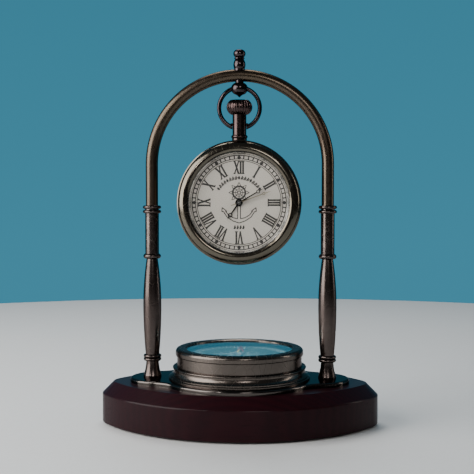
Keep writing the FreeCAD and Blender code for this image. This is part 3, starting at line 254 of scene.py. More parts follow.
def build_speckle() -> bpy.types.NodeTree:
    """Small even grains, as on felt, moulded plastic or a printed dial."""
    group, graph, given, result = new_group(
        Effect.SPECKLE, {"Vector": "vector", "Scale": 900.0}, ["Mask"])
    noise = graph.add("TexNoise", Vector=given["Vector"], Scale=given["Scale"], Detail=2.0, Roughness=0.6)
    cells = graph.add("TexVoronoi", Vector=given["Vector"], Scale=given["Scale"])
    total = graph.math("ADD", graph.math("MULTIPLY", noise.outputs[0], 0.6),
                       graph.math("MULTIPLY", cells.outputs["Distance"], 0.4))
    graph.fill(result["Mask"], graph.remap(total, 0.3, 0.75, 0.0, 1.0))
    return group


GROUPS = {
    Effect.PATINA: build_patina(),
    Effect.EDGE_WEAR: build_edge_wear(),
    Effect.HAIRLINES: build_hairlines(),
    Effect.GRAIN: build_grain(),
    Effect.SPECKLE: build_speckle(),
}


# ---------------------------------------------------------------- finishes


class Surface:
    """A material under construction, with its Principled shader and Object coordinates."""

    def __init__(self, name: str) -> None:
        """Starts the material of the finish with this name."""
        self.material = bpy.data.materials.new(name)
        self.material.use_nodes = True
        self.graph = Graph(self.material.node_tree)
        nodes = self.material.node_tree.nodes
        self.shader = nodes["Principled BSDF"]
        self.output = nodes["Material Output"]
        self.place = self.graph.add("TexCoord").outputs["Object"]

    def effect(self, effect: Effect, **values: float) -> bpy.types.NodeOutputs:
        """Places a shared effect with its own values.

        Args:
            effect: Which one.
            **values: Numbers for its inputs, by name.

        Returns:
            The effect's outputs.
        """
        node = self.graph.add("Group", {"node_tree": GROUPS[effect]}, Vector=self.place, **values)
        return node.outputs

    def set(self, **inputs: object) -> None:
        """Sets or links the shader's inputs.

        Args:
            **inputs: Values or sockets by the input's name, with _ for a space.
        """
        for name, value in inputs.items():
            self.graph.fill(self.shader.inputs[name.replace("_", " ")], value)

    def bump(self, height: Socket, depth: float, strength: float) -> None:
        """Roughens the surface.

        Args:
            height: Socket that gives the relief from 0 to 1.
            depth: Depth of the relief, in metres.
            strength: How much of it shows.
        """
        node = self.graph.add("Bump", Strength=strength, Distance=depth, Height=height)
        self.set(Normal=node.outputs[0])


@dataclass(frozen=True)
class Recipe:
    """What all kinds of finish share.

    Attributes:
        name: Name of the finish.
    """

    name: str

    def build(self) -> Material:
        """Makes the material."""
        surface = Surface(self.name)
        self.paint(surface, surface.graph)
        return surface.material

    def paint(self, surface: Surface, graph: Graph) -> None:
        """Sets the shader of a new surface, in the way of the kind of finish."""
        raise NotImplementedError


@dataclass(frozen=True)
class AgedMetal(Recipe):
    """Plated brass with an antique finish: dark in the fields, polished through on its edges.

    Attributes:
        field: Colour of the darkened fields.
        cloud: Colour of the lighter clouds in them.
        worn: Colour where the finish has rubbed through.
        blush: Colour of wide soft patches.
        roughness: Roughness of the fields.
        cloud_scale: Clouds to the metre.
        wear: How strong the wear is, from 0 to 1.
        reach: How far wear reaches from an edge, in metres.
    """

    field: Colour
    cloud: Colour
    worn: Colour
    blush: Colour
    roughness: float
    cloud_scale: float
    wear: float
    reach: float = 0.0006

    def paint(self, surface: Surface, graph: Graph) -> None:
        """Clouds and wide patches over the field colour, worn through on the edges."""
        clouds = surface.effect(Effect.PATINA, Scale=self.cloud_scale, Contrast=0.9)["Mask"]
        patches = surface.effect(Effect.PATINA, Scale=self.cloud_scale * 0.37, Contrast=1.6)["Mask"]
        lines = surface.effect(Effect.HAIRLINES, Scale=160.0)
        plain = graph.mix(clouds, self.field, self.cloud)
        colour = graph.mix(graph.math("MULTIPLY", patches, 0.6), plain, self.blush)
        if self.wear:
            edges = surface.effect(Effect.EDGE_WEAR, Reach=self.reach, Amount=self.wear)["Mask"]
            colour = graph.mix(edges, colour, self.worn)
        rough = graph.remap(clouds, 0.0, 1.0, self.roughness + 0.06, self.roughness - 0.04)
        surface.set(Base_Color=colour, Metallic=1.0, Specular_Tint=(0.45, 0.42, 0.42),
                    Roughness=graph.math("ADD", rough, graph.math("MULTIPLY", lines["Mask"], 0.12)))
        surface.bump(lines["Height"], 0.00002, 0.08)


@dataclass(frozen=True)
class PlainMetal(Recipe):
    """Bare or plated metal of the inner pieces: turned, with fine tool marks.

    Attributes:
        colour: Colour of the metal.
        tint: Colour of its slight tarnish.
        roughness: Roughness between the tool marks.
    """

    colour: Colour
    tint: Colour
    roughness: float

    def paint(self, surface: Surface, graph: Graph) -> None:
        """Slight tarnish and fine tool marks."""
        clouds = surface.effect(Effect.PATINA, Scale=150.0, Contrast=1.0)["Mask"]
        lines = surface.effect(Effect.HAIRLINES, Scale=250.0)["Height"]
        surface.set(Base_Color=graph.mix(clouds, self.colour, self.tint), Metallic=1.0,
                    Roughness=graph.remap(lines, 0.2, 0.8, self.roughness - 0.06, self.roughness + 0.1))
        surface.bump(lines, 0.00001, 0.3)


@dataclass(frozen=True)
class LacqueredWood(Recipe):
    """Dark stained mahogany under a semi-gloss lacquer.

    Attributes:
        dark: Colour of the dark bands.
        warm: Colour of the red-brown bands.
        grain_scale: Grain bands to the metre.
    """

    dark: Colour
    warm: Colour
    grain_scale: float = 34.0

    def paint(self, surface: Surface, graph: Graph) -> None:
        """Grain bands and pores, stained towards the dark, and convex edges lightened: partly rubbed-through
        lacquer, partly a painted highlight.
        """
        grain = surface.effect(Effect.GRAIN, Scale=self.grain_scale)
        edges = surface.effect(Effect.EDGE_WEAR, Reach=0.0016, Amount=0.5)["Mask"]
        stain = surface.effect(Effect.PATINA, Scale=24.0, Contrast=1.4)["Mask"]
        bands = graph.mix(graph.remap(grain["Figure"], 0.0, 1.0, 0.2, 0.55), self.dark, self.warm)
        deep = tuple(part * 0.55 for part in self.dark)
        shaded = graph.mix(graph.remap(stain, 0.0, 1.0, 0.45, 0.0), bands, deep)
        pored = graph.mix(graph.math("MULTIPLY", grain["Pores"], 0.6), shaded, deep)
        # Painted highlight on convex edges, partly rubbed-through lacquer: the edge mask mixes in this
        # lighter colour.
        lit = tuple(min(1.0, part * 2.2) for part in self.warm)
        surface.set(Base_Color=graph.mix(edges, pored, lit), Coat_Weight=0.1, Coat_Roughness=0.12,
                    Specular_IOR_Level=0.06, Roughness=graph.remap(grain["Pores"], 0.0, 1.0, 0.34, 0.5))
        surface.bump(grain["Pores"], 0.00004, 0.35)


@dataclass(frozen=True)
class Matt(Recipe):
    """A non-metal with a fine grain: felt, plastic, rubber, paint or a printed face.

    Attributes:
        colour: Its colour.
        shade: Colour of its grains or stains.
        roughness: Roughness.
        grain_scale: Grains to the metre.
        relief: Depth of the grain, in metres.
        stain_scale: Wide stains to the metre.
        coat: Weight of a clear coat.
        sheen: Weight of a soft nap.
    """

    colour: Colour
    shade: Colour
    roughness: float = 0.6
    grain_scale: float = 1500.0
    relief: float = 0.00003
    stain_scale: float = 40.0
    coat: float = 0.0
    sheen: float = 0.0

    def paint(self, surface: Surface, graph: Graph) -> None:
        """Grains and stains of the second colour, in fine relief."""
        grains = surface.effect(Effect.SPECKLE, Scale=self.grain_scale)["Mask"]
        stains = surface.effect(Effect.PATINA, Scale=self.stain_scale, Contrast=1.6)["Mask"]
        both = graph.math("ADD", graph.math("MULTIPLY", grains, 0.35), graph.math("MULTIPLY", stains, 0.5))
        surface.set(Base_Color=graph.mix(both, self.colour, self.shade), Coat_Weight=self.coat,
                    Coat_Roughness=0.1, Sheen_Weight=self.sheen,
                    Roughness=graph.remap(grains, 0.0, 1.0, self.roughness - 0.05, self.roughness + 0.08))
        surface.bump(grains, self.relief, 0.6)


@dataclass(frozen=True)
class ClearGlass(Recipe):
    """Polished glass that lets light straight through to what it covers.

    Attributes:
        tint: Colour of the glass.
    """

    tint: Colour

    def paint(self, surface: Surface, graph: Graph) -> None:
        """Faintly smeared glass whose shadow lets the light through."""
        smears = surface.effect(Effect.PATINA, Scale=45.0, Contrast=2.0)["Mask"]
        surface.set(Base_Color=self.tint, Metallic=0.0, Transmission_Weight=1.0, IOR=1.45,
                    Roughness=graph.remap(smears, 0.0, 1.0, 0.0, 0.03))
        clear = graph.add("BsdfTransparent", Color=self.tint)
        shadow = graph.add("LightPath").outputs["Is Shadow Ray"]
        both = graph.add("MixShader", None, shadow, surface.shader.outputs[0], clear.outputs[0])
        graph.fill(surface.output.inputs["Surface"], both.outputs[0])


@dataclass(frozen=True)
class TwoEnded(Recipe):
    """Enamel that changes colour across the middle of a compass needle.

    Attributes:
        north: Colour of the end that points along +Y.
        south: Colour of the other end.
    """

    north: Colour
    south: Colour

    def paint(self, surface: Surface, graph: Graph) -> None:
        """One colour on each side of y = 0."""
        along = graph.add("SeparateXYZ", Vector=surface.place).outputs["Y"]
        end = graph.remap(along, -0.0001, 0.0001, 0.0, 1.0)
        grains = surface.effect(Effect.SPECKLE, Scale=1200.0)["Mask"]
        surface.set(Base_Color=graph.mix(end, self.south, self.north),
                    Roughness=graph.remap(grains, 0.0, 1.0, 0.22, 0.34))
        surface.bump(grains, 0.00001, 0.5)


@dataclass(frozen=True)
class BossAndBlade(Recipe):
    """A hand that is lacquered black round its boss and gilt along its blade.

    Attributes:
        boss: Colour round the boss.
        blade: Colour of the blade.
        boss_radius: How far the black reaches, in millimetres.
    """

    boss: Colour
    blade: Colour
    boss_radius: float

    def paint(self, surface: Surface, graph: Graph) -> None:
        """One colour round the boss, and metal beyond it."""
        low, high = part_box("dial")
        middle = ((low.x + high.x) / 2, 0.0, (low.z + high.z) / 2)
        flat = graph.stretched(surface.place, (1.0, 0.0, 1.0))
        apart = graph.add("VectorMath", {"operation": "DISTANCE"}, flat, middle)
        edge = self.boss_radius * MM
        outside = graph.remap(apart.outputs["Value"], edge * 0.98, edge * 1.02, 0.0, 1.0)
        grains = surface.effect(Effect.SPECKLE, Scale=2500.0)["Mask"]
        surface.set(Base_Color=graph.mix(outside, self.boss, self.blade), Metallic=outside,
                    Roughness=graph.remap(grains, 0.0, 1.0, 0.26, 0.36))
        surface.bump(grains, 0.000004, 0.5)


class Finish(Enum):
    """Every finish on the clock."""

    ARCH_BRONZE = AgedMetal("Arch bronze", (0.07, 0.06, 0.046), (0.105, 0.088, 0.06), (0.7, 0.55, 0.33),
                            (0.09, 0.056, 0.047), 0.28, 40.0, 0.0)
    DARK_BRONZE = AgedMetal("Dark bronze", (0.035, 0.03, 0.032), (0.07, 0.058, 0.055), (0.4, 0.33, 0.27),
                            (0.05, 0.032, 0.042), 0.16, 70.0, 0.0)
    POST_BRONZE = AgedMetal("Post bronze", (0.06, 0.05, 0.046), (0.105, 0.088, 0.079), (0.4, 0.34, 0.3),
                            (0.082, 0.056, 0.053), 0.22, 45.0, 0.25)
    CASE_METAL = AgedMetal("Case metal", (0.1, 0.09, 0.076), (0.145, 0.13, 0.106), (0.75, 0.68, 0.55),
                           (0.115, 0.098, 0.066), 0.17, 22.0, 0.0)
    PENDANT_METAL = AgedMetal("Pendant metal", (0.045, 0.034, 0.033), (0.08, 0.056, 0.052), (0.3, 0.25, 0.22),
                              (0.068, 0.04, 0.041), 0.2, 60.0, 0.15)
    PLATE_BRONZE = AgedMetal("Plate bronze", (0.06, 0.054, 0.05), (0.1, 0.09, 0.082), (0.6, 0.55, 0.5),
                             (0.07, 0.058, 0.055), 0.12, 35.0, 0.6)
    DRUM_BRONZE = AgedMetal("Drum bronze", (0.095, 0.083, 0.074), (0.135, 0.118, 0.104), (0.5, 0.45, 0.4),
                            (0.112, 0.086, 0.076), 0.22, 18.0, 0.25)
    MAHOGANY = LacqueredWood("Mahogany", (0.009, 0.0022, 0.004), (0.028, 0.0045, 0.007))
    FELT = Matt("Felt", (0.012, 0.02, 0.016), (0.03, 0.045, 0.038), 0.95, 2600.0, 0.00012, sheen=0.4)
    DIAL = Matt("Dial", (0.47, 0.435, 0.39), (0.36, 0.33, 0.29), 0.42, 3000.0, 0.000006, 18.0, 0.25)
    INK = Matt("Ink", (0.006, 0.0055, 0.0055), (0.011, 0.01, 0.0095), 0.5, 3000.0, 0.000004)
    HAND_BLACK = Matt("Hand black", (0.008, 0.008, 0.009), (0.015, 0.014, 0.014), 0.2, 2500.0, 0.000004,
                      coat=0.5)
    CARD = Matt("Compass card", (0.06, 0.075, 0.058), (0.045, 0.06, 0.05), 0.5, 2500.0, 0.000008)
    CARD_WHITE = Matt("Card white", (0.72, 0.75, 0.75), (0.6, 0.64, 0.64), 0.5, 2500.0, 0.000005)
    HOLDER = Matt("Holder plastic", (0.6, 0.6, 0.56), (0.5, 0.5, 0.46), 0.5)
    RUBBER = Matt("Rubber", (0.014, 0.014, 0.014), (0.03, 0.03, 0.03), 0.75)
    BOARD = Matt("Circuit board", (0.02, 0.1, 0.05), (0.03, 0.16, 0.08), 0.35, 1800.0, 0.00002, 120.0, 0.4)
    BRIGHT_RING = PlainMetal("Bright ring", (0.82, 0.81, 0.79), (0.7, 0.68, 0.66), 0.16)
    STEEL = PlainMetal("Steel", (0.5, 0.5, 0.5), (0.36, 0.35, 0.34), 0.32)
    GILT = PlainMetal("Gilt brass", (0.72, 0.53, 0.24), (0.55, 0.38, 0.17), 0.28)
    COPPER = PlainMetal("Copper wire", (0.6, 0.24, 0.12), (0.42, 0.15, 0.08), 0.35)
    BATTERY_CAN = PlainMetal("Battery can", (0.62, 0.62, 0.6), (0.5, 0.5, 0.48), 0.24)
    CRYSTAL = ClearGlass("Watch glass", (0.97, 0.98, 0.98))
    COMPASS_GLASS = ClearGlass("Compass glass", (0.78, 0.92, 0.94))
    SECONDS_HAND = BossAndBlade("Seconds hand", (0.012, 0.011, 0.011), (0.2, 0.165, 0.09), 2.0)
    NEEDLE = TwoEnded("Needle enamel", (0.45, 0.03, 0.02), (0.35, 0.36, 0.38))


class Workshop:
    """Builds each finish once and puts it on pieces."""

    def __init__(self) -> None:
        """Starts with no finish made."""
        self.made: dict[Finish, Material] = {}

    def material(self, finish: Finish) -> Material:
        """Gives a finish's material, made the first time it is asked for."""
        if finish not in self.made:
            self.made[finish] = finish.value.build()
        return self.made[finish]

    def dress(self, finish: Finish, *nodes: str) -> None:
        """Puts a finish on pieces that come from the frame.

        Args:
            finish: The finish.
            *nodes: Names of the pieces.
        """
        for name in nodes:
            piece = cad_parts[name]
            if not piece.material_slots:
                piece.data.materials.append(None)
            for slot in piece.material_slots:
                slot.material = self.material(finish)
            LOG.info("%s: %s", name, finish.value.name)

    def coat(self, piece: Piece, finish: Finish, body: str, slot: str) -> Piece:
        """Puts a finish on a new piece and makes it ride with the body it is fixed to.

        Args:
            piece: The new piece.
            finish: Its finish.
            body: The body that carries it.
            slot: The material slot that it stands for; not used.

        Returns:
            The same piece.
        """
        piece.data.materials.clear()
        piece.data.materials.append(self.material(finish))
        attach(piece, body)
        LOG.info("%s: new, %s, on %s", piece.name, finish.value.name, body)
        return piece


# ---------------------------------------------------------------- drawing flat strokes


def deselect_all() -> None:
    """Leaves object mode with nothing selected."""
    if bpy.context.object and bpy.context.object.mode != "OBJECT":
        bpy.ops.object.mode_set(mode="OBJECT")
    bpy.ops.object.select_all(action="DESELECT")


def settle(piece: Piece) -> None:
    """Moves a piece's own place, turn and scale into its mesh."""
    deselect_all()
    piece.select_set(True)
    bpy.context.view_layer.objects.active = piece
    bpy.ops.object.transform_apply(location=True, rotation=True, scale=True)


def on_circle(centre: Point, radius: float, turn: float, stretch: float = 1.0) -> Point:
    """The point of a circle, or of one stretched along y, at a turn in radians from x."""
    return centre[0] + radius * math.cos(turn), centre[1] + radius * stretch * math.sin(turn)


class Drawing:
    """Flat strokes drawn in millimetres, which become one thin raised piece."""

    def __init__(self, name: str) -> None:
        """Starts the piece of this name as an empty mesh in edit mode."""
        deselect_all()
        bpy.ops.mesh.primitive_plane_add(size=1)
        self.piece = bpy.context.object
        self.piece.name = name
        bpy.ops.object.mode_set(mode="EDIT")
        bpy.ops.mesh.select_all(action="SELECT")
        bpy.ops.mesh.delete(type="VERT")
        self.pen = Matrix.Identity(4)

    def face(self, corners: list[Point]) -> None:
        """Draws a filled shape from its corners, in order and anticlockwise."""
        bpy.ops.mesh.select_all(action="DESELECT")
        bpy.ops.mesh.primitive_circle_add(vertices=len(corners), radius=1, fill_type="NGON")
        mesh = bmesh.from_edit_mesh(self.piece.data)
        new = [vertex for vertex in mesh.verts if vertex.select]
        for vertex, (x, y) in zip(new, corners):
            vertex.co = self.pen @ Vector((x, y, 0))
        bmesh.update_edit_mesh(self.piece.data)

    def bar(self, start: Point, end: Point, width: float,
            end_width: float | None = None) -> None:
        """Draws a straight stroke.

        Args:
            start: Middle of one end.
            end: Middle of the other end.
            width: Width at the start.
            end_width: Width at the end, if it differs.
        """
        first, last = Vector(start), Vector(end)
        along = (last - first).normalized()
        side = Vector((-along.y, along.x))
        near, far = side * width / 2, side * (width if end_width is None else end_width) / 2
        self.face([tuple(point) for point in (first - near, last - far, last + far, first + near)])

    def ring(self, radius: float, width: float, centre: Point = (0, 0), steps: int = 144) -> None:
        """Draws a ring.

        Args:
            radius: Radius of the stroke's middle.
            width: Width of the stroke.
            centre: Its centre.
            steps: Straight steps round it.
        """
        inner, outer = radius - width / 2, radius + width / 2
        turns = [math.radians(360 * index / steps) for index in range(steps + 1)]
        for first, last in zip(turns, turns[1:]):
            corners = ((first, inner), (first, outer), (last, outer), (last, inner))
            self.face([on_circle(centre, reach, turn) for turn, reach in corners])

    def diamond(self, half_width: float, centre: Point, stretch: float) -> None:
        """Draws a filled diamond.

        Args:
            half_width: From its centre to its left or right corner.
            centre: Its centre.
            stretch: How much taller it is than it is wide.
        """
        turns = [2 * math.pi * index / 4 for index in range(4)]
        self.face([on_circle(centre, half_width, turn, stretch) for turn in turns])

    def turned_pen(self, degrees: float, shift: Point = (0, 0)) -> None:
        """Moves the pen's own frame: strokes after this are shifted, then turned clockwise about the middle.

        Args:
            degrees: Turn, clockwise.
            shift: Place in the frame before it turns.
        """
        self.pen = Matrix.Rotation(-math.radians(degrees), 4, "Z") @ Matrix.Translation((*shift, 0))

    def thicken(self, height: float) -> Piece:
        """Raises all strokes to a thin solid and scales the piece to metres.

        Args:
            height: How far it stands up, in millimetres.

        Returns:
            The piece, flat on z = 0 in metres.
        """
        bpy.ops.mesh.select_all(action="SELECT")
        bpy.ops.mesh.remove_doubles(threshold=0.0005)
        bpy.ops.mesh.extrude_region_move(TRANSFORM_OT_translate={"value": (0, 0, height)})
        bpy.ops.mesh.select_all(action="SELECT")
        bpy.ops.mesh.normals_make_consistent(inside=False)
        bpy.ops.object.mode_set(mode="OBJECT")
        self.piece.scale = (MM, MM, MM)
        settle(self.piece)
        return self.piece


def lay_on_dial(piece: Piece, front: float) -> Piece:
    """Stands a flat piece upright in front of the dial, its back at front along y, and gives it back."""
    low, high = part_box("dial")
    piece.rotation_euler = (math.radians(90), 0, 0)
    piece.location = ((low.x + high.x) / 2, front, (low.z + high.z) / 2)
    settle(piece)
    return piece


# ---------------------------------------------------------------- sub-assemblies


@dataclass
class Assembly:
    """Pieces that are made together.

    Attributes:
        workshop: Where finishes are made.
        finishes: Names of the pieces that each finish goes on.
    """

    workshop: Workshop
    finishes: ClassVar[dict[Finish, str]] = {}

    def make(self) -> None:
        """Gives each piece that comes from the frame its finish."""
        for finish, names in self.finishes.items():
            self.workshop.dress(finish, *names.split())


@dataclass
class Stand(Assembly):
    """Wooden base, base plate, posts, arch, finial, hanger and the watch's bow.

    Attributes:
        felt_half_length: From the felt's middle to its end.
        felt_half_depth: From its middle to its front.
        felt_end_radius: Rounding of its two ends.
        felt_thickness: Its thickness.
    """

    finishes = {
        Finish.MAHOGANY: "wood_base",
        Finish.PLATE_BRONZE: "base_plate",
        Finish.POST_BRONZE: "post_foot_left post_foot_right baluster_left baluster_right arch_socket_left "
                            "arch_socket_right",
        Finish.ARCH_BRONZE: "arch_tube",
        Finish.DARK_BRONZE: "finial hanger bow_ring",
        Finish.STEEL: "post_studs stud_washers stud_nuts",
    }
    felt_half_length: float = 81.0
    felt_half_depth: float = 51.0
    felt_end_radius: float = 16.0
    felt_thickness: float = 1.0

    def felt_outline(self, steps: int = 40) -> list[Point]:
        """The felt's oval: four arcs, each running smoothly into the next.

        Args:
            steps: Straight steps along each arc.

        Returns:
            The corners, anticlockwise, in millimetres.
        """
        end = self.felt_half_length - self.felt_end_radius
        rise = self.felt_half_depth - self.felt_end_radius
        drop = (end * end - rise * rise) / (rise * 2)
        side = self.felt_half_depth + drop
        meet = math.atan2(drop, end)
        points = []
        for x, y, radius, first, last in (
            (end, 0.0, self.felt_end_radius, -meet, meet), (0.0, -drop, side, meet, math.pi - meet),
            (-end, 0.0, self.felt_end_radius, math.pi - meet, math.pi + meet),
            (0.0, drop, side, math.pi + meet, 2 * math.pi - meet),
        ):
            for index in range(steps):
                turn = first + (last - first) * index / steps
                points.append(on_circle((x, y), radius, turn))
        return points

    def make_felt(self) -> None:
        """A felt sheet glued under the wood, its cut edges slightly rounded."""
        outline = self.felt_outline()
        drawing = Drawing("felt_sheet")
        drawing.face(outline)
        piece = drawing.thicken(self.felt_thickness)
        bevel = piece.modifiers.new("Cut edge", "BEVEL")
        bevel.width = 0.25 * MM
        bevel.segments = 3
        bevel.limit_method = "ANGLE"
        bpy.ops.object.modifier_apply(modifier=bevel.name)
        bpy.ops.object.shade_smooth_by_angle(angle=math.radians(40))
        self.workshop.coat(piece, Finish.FELT, "stand", "felt")
        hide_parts("felt_pad")

    def make(self) -> None:
        """Makes the felt and gives each other piece its finish."""
        self.make_felt()
        super().make()


@dataclass
class WatchCase(Assembly):
    """Case, pendant, crown, glass and the bright ring."""

    finishes = {
        Finish.CASE_METAL: "case_band front_bezel back_cover",
        Finish.PENDANT_METAL: "pendant crown",
        Finish.BRIGHT_RING: "dial_ring",
        Finish.CRYSTAL: "crystal",
        Finish.RUBBER: "crystal_gasket crown_gasket",
        Finish.STEEL: "setting_stem",
    }


@dataclass
class Movement(Assembly):
    """Plates, wheels and the quartz drive behind the dial."""

    finishes = {
        Finish.HOLDER: "movement_ring",
        Finish.GILT: "main_plate train_bridge center_wheel minute_wheel hour_wheel third_wheel",
        Finish.STEEL: "cannon_pinion seconds_wheel bridge_screws motor_stator battery_clip",
        Finish.COPPER: "motor_coil",
        Finish.BOARD: "circuit_board",
        Finish.BATTERY_CAN: "battery",
    }


@dataclass
class DialFace(Assembly):
    """The dial's printing: minute track, hour numerals, and a ship's wheel over an anchor.

    Attributes:
        track_outer: Radius of the track's outer line.
        track_inner: Radius of the track's inner line.
        rail: Radius of the thin line inside the track.
        numeral_foot: Radius at the feet of the numerals.
        numeral_head: Radius at their heads.
        stem: Width of a numeral's thick strokes.
        hair: Width of thin strokes.
        print_height: Thickness of the ink.
        wheel_centre: Height of the wheel above the middle.
        wheel_radius: Radius of the wheel's rim.
        anchor_foot: How far the anchor reaches below the middle.
        anchor_half_width: How far its arms reach to each side.
    """

    finishes = {Finish.DIAL: "dial"}
    track_outer: float = 28.7
    track_inner: float = 26.6
    rail: float = 25.6
    numeral_foot: float = 17.4
    numeral_head: float = 25.2
    stem: float = 1.1
    hair: float = 0.6
    print_height: float = 0.04
    wheel_centre: float = 6.1
    wheel_radius: float = 3.8
    anchor_foot: float = 12.4
    anchor_half_width: float = 10.3

    def make(self) -> None:
        """Dresses the dial and prints on it, one drawing at a time."""
        super().make()
        for draw in (self.minute_track, self.numerals, self.ships_wheel, self.anchor, self.ornament):
            self.place(draw())

    def place(self, drawing: Drawing) -> None:
        """Lays one drawing on the dial and inks it."""
        piece = lay_on_dial(drawing.thicken(self.print_height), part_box("dial")[0].y)
        self.workshop.coat(piece, Finish.INK, "watch", "black_hands")

    def minute_track(self) -> Drawing:
        """Two lines with a bar at each minute and a bold diamond at each hour."""
        drawing = Drawing("minute_track")
        drawing.ring(self.track_outer, 0.62)
        drawing.ring(self.track_inner, 0.5)
        drawing.ring(self.rail, 0.4)
        middle = (self.track_outer + self.track_inner) / 2
        half = (self.track_outer - self.track_inner) / 2
        for minute in range(60):
            drawing.turned_pen(minute * 360 / 60)
            if minute % 5:
                drawing.bar((0, middle - half), (0, middle + half), 0.75)
            else:
                drawing.diamond(1.25, (0, middle - 0.2), 1.2)
        return drawing

    def letter(self, drawing: Drawing, letter: str, x: float) -> None:
        """Draws one letter of a numeral with its feet on y = 0 of the pen's frame.

        Args:
            drawing: Where to draw.
            letter: I, V or X.
            x: Middle of the letter.
        """
        height = self.numeral_head - self.numeral_foot
        low, high = self.hair / 2, height - self.hair / 2
        arm, point = 1.25, x + 0.05
        if letter == "I":
            drawing.bar((x, 0), (x, height), self.stem)
            serifs = [(x, low, 0.85), (x, high, 0.85)]
        elif letter == "V":
            drawing.bar((x - arm, height), (point, 0), self.stem, self.stem * 0.75)
            drawing.bar((x + arm, height), (point, 0), self.hair * 1.3, self.hair)
            serifs = [(x - arm, high, 0.7), (x + arm, high, 0.7)]
        else:
            drawing.bar((x - arm, height), (x + arm, 0), self.stem)
            drawing.bar((x + arm, height), (x - arm, 0), self.hair * 1.3)
            serifs = [(x + side, level, 0.65) for side in (-arm, arm) for level in (low, high)]
        for middle, level, half in serifs:
            drawing.bar((middle - half, level), (middle + half, level), self.hair)

    def numerals(self) -> Drawing:
        """The twelve hours, each upright on its own radius with its feet to the middle."""
        drawing = Drawing("hour_numerals")
        words = ("XII", "I", "II", "III", "IIII", "V", "VI", "VII", "VIII", "IX", "X", "XI")
        widths = {"I": 1.5, "V": 3.3, "X": 3.4}
        for hour, word in enumerate(words):
            drawing.turned_pen(hour * 360 / 12, (0, self.numeral_foot))
            x = -sum(widths[letter] for letter in word) / 2
            for letter in word:
                self.letter(drawing, letter, x + widths[letter] / 2)
                x += widths[letter]
        return drawing

    def ships_wheel(self) -> Drawing:
        """A rim with an inner ring, a hub, and eight spokes that end in pointed handles."""
        drawing = Drawing("ships_wheel_print")
        centre = (0.0, self.wheel_centre)
        middle = Vector(centre)
        drawing.ring(self.wheel_radius, 1.1, centre, steps=64)
        drawing.ring(self.wheel_radius * 0.6, 0.36, centre, steps=48)
        drawing.ring(self.wheel_radius * 0.24, 0.5, centre, steps=24)
        rim = self.wheel_radius + 0.4
        handle_length, handle_half_width, hub = 2.1, 0.95, 1.1
        for index in range(8):
            turn = math.radians(index * 45)
            spoke = Vector((math.cos(turn), math.sin(turn)))
            side = Vector((-spoke.y, spoke.x)) * handle_half_width
            drawing.bar(tuple(middle + spoke * hub), tuple(middle + spoke * self.wheel_radius), 0.45)
            tip = tuple(middle + spoke * (rim + handle_length))
            for flank in (side, -side):
                drawing.bar(tuple(middle + spoke * rim + flank), tip, 0.46, 0.36)
        return drawing

    def anchor(self) -> Drawing:
        """An anchor in outline: a double shank, a crown point and two curved arms with flukes."""
        drawing = Drawing("anchor_print")
        line = 0.56
        foot = -self.anchor_foot
        for side in (-1, 1):
            drawing.bar((side * 0.85, -2.0), (side * 0.85, foot + 2.6), line)
            arm = [(side * 0.85, foot + 2.6), (side * 3.6, foot + 3.2), (side * 6.4, foot + 4.9),
                   (side * 8.3, foot + 7.2)]
            under = [(0.0, foot), (side * 3.8, foot + 1.3), (side * 7.3, foot + 3.6),
                     (side * 9.5, foot + 7.0)]
            for path in (arm, under):
                for first, last in zip(path, path[1:]):
                    drawing.bar(first, last, line)
            tip = (side * self.anchor_half_width, foot + 9.4)
            for base in (arm[-1], under[-1]):
                flare = (base[0] + (-side * 0.9 if base is arm[-1] else side * 1.0), base[1] - 0.1)
                drawing.bar(base, flare, line)
                drawing.bar(flare, tip, line)
        return drawing

    def ornament(self) -> Drawing:
        """A bowed rope border over the wheel and a short knot under the anchor, in slanted strokes."""
        drawing = Drawing("dial_ornament")
        rope_radius, step = 15.1, 7
        for index in range(-8, 9):
            drawing.turned_pen(index * step, (0, rope_radius))
            if index % 4:
                drawing.bar((-0.6, -1.1), (0.25, 1.15), 0.7)
                drawing.bar((0.2, -1.1), (0.75, 0.5), 0.55)
            else:
                drawing.diamond(0.85, (0, 0), 1.6)
        drawing.turned_pen(0)
        foot = -16.1
        for x in (-2.625, -0.875, 0.875, 2.625):
            drawing.bar((x - 0.4, foot), (x + 0.25, -13.9), 0.75)
            drawing.bar((x + 0.15, foot), (x + 0.65, -14.6), 0.5)
        return drawing


@dataclass
class Hands(Assembly):
    """Black hour and minute hands and a pale seconds hand."""

    finishes = {Finish.HAND_BLACK: "hour_hand minute_hand", Finish.SECONDS_HAND: "seconds_hand"}


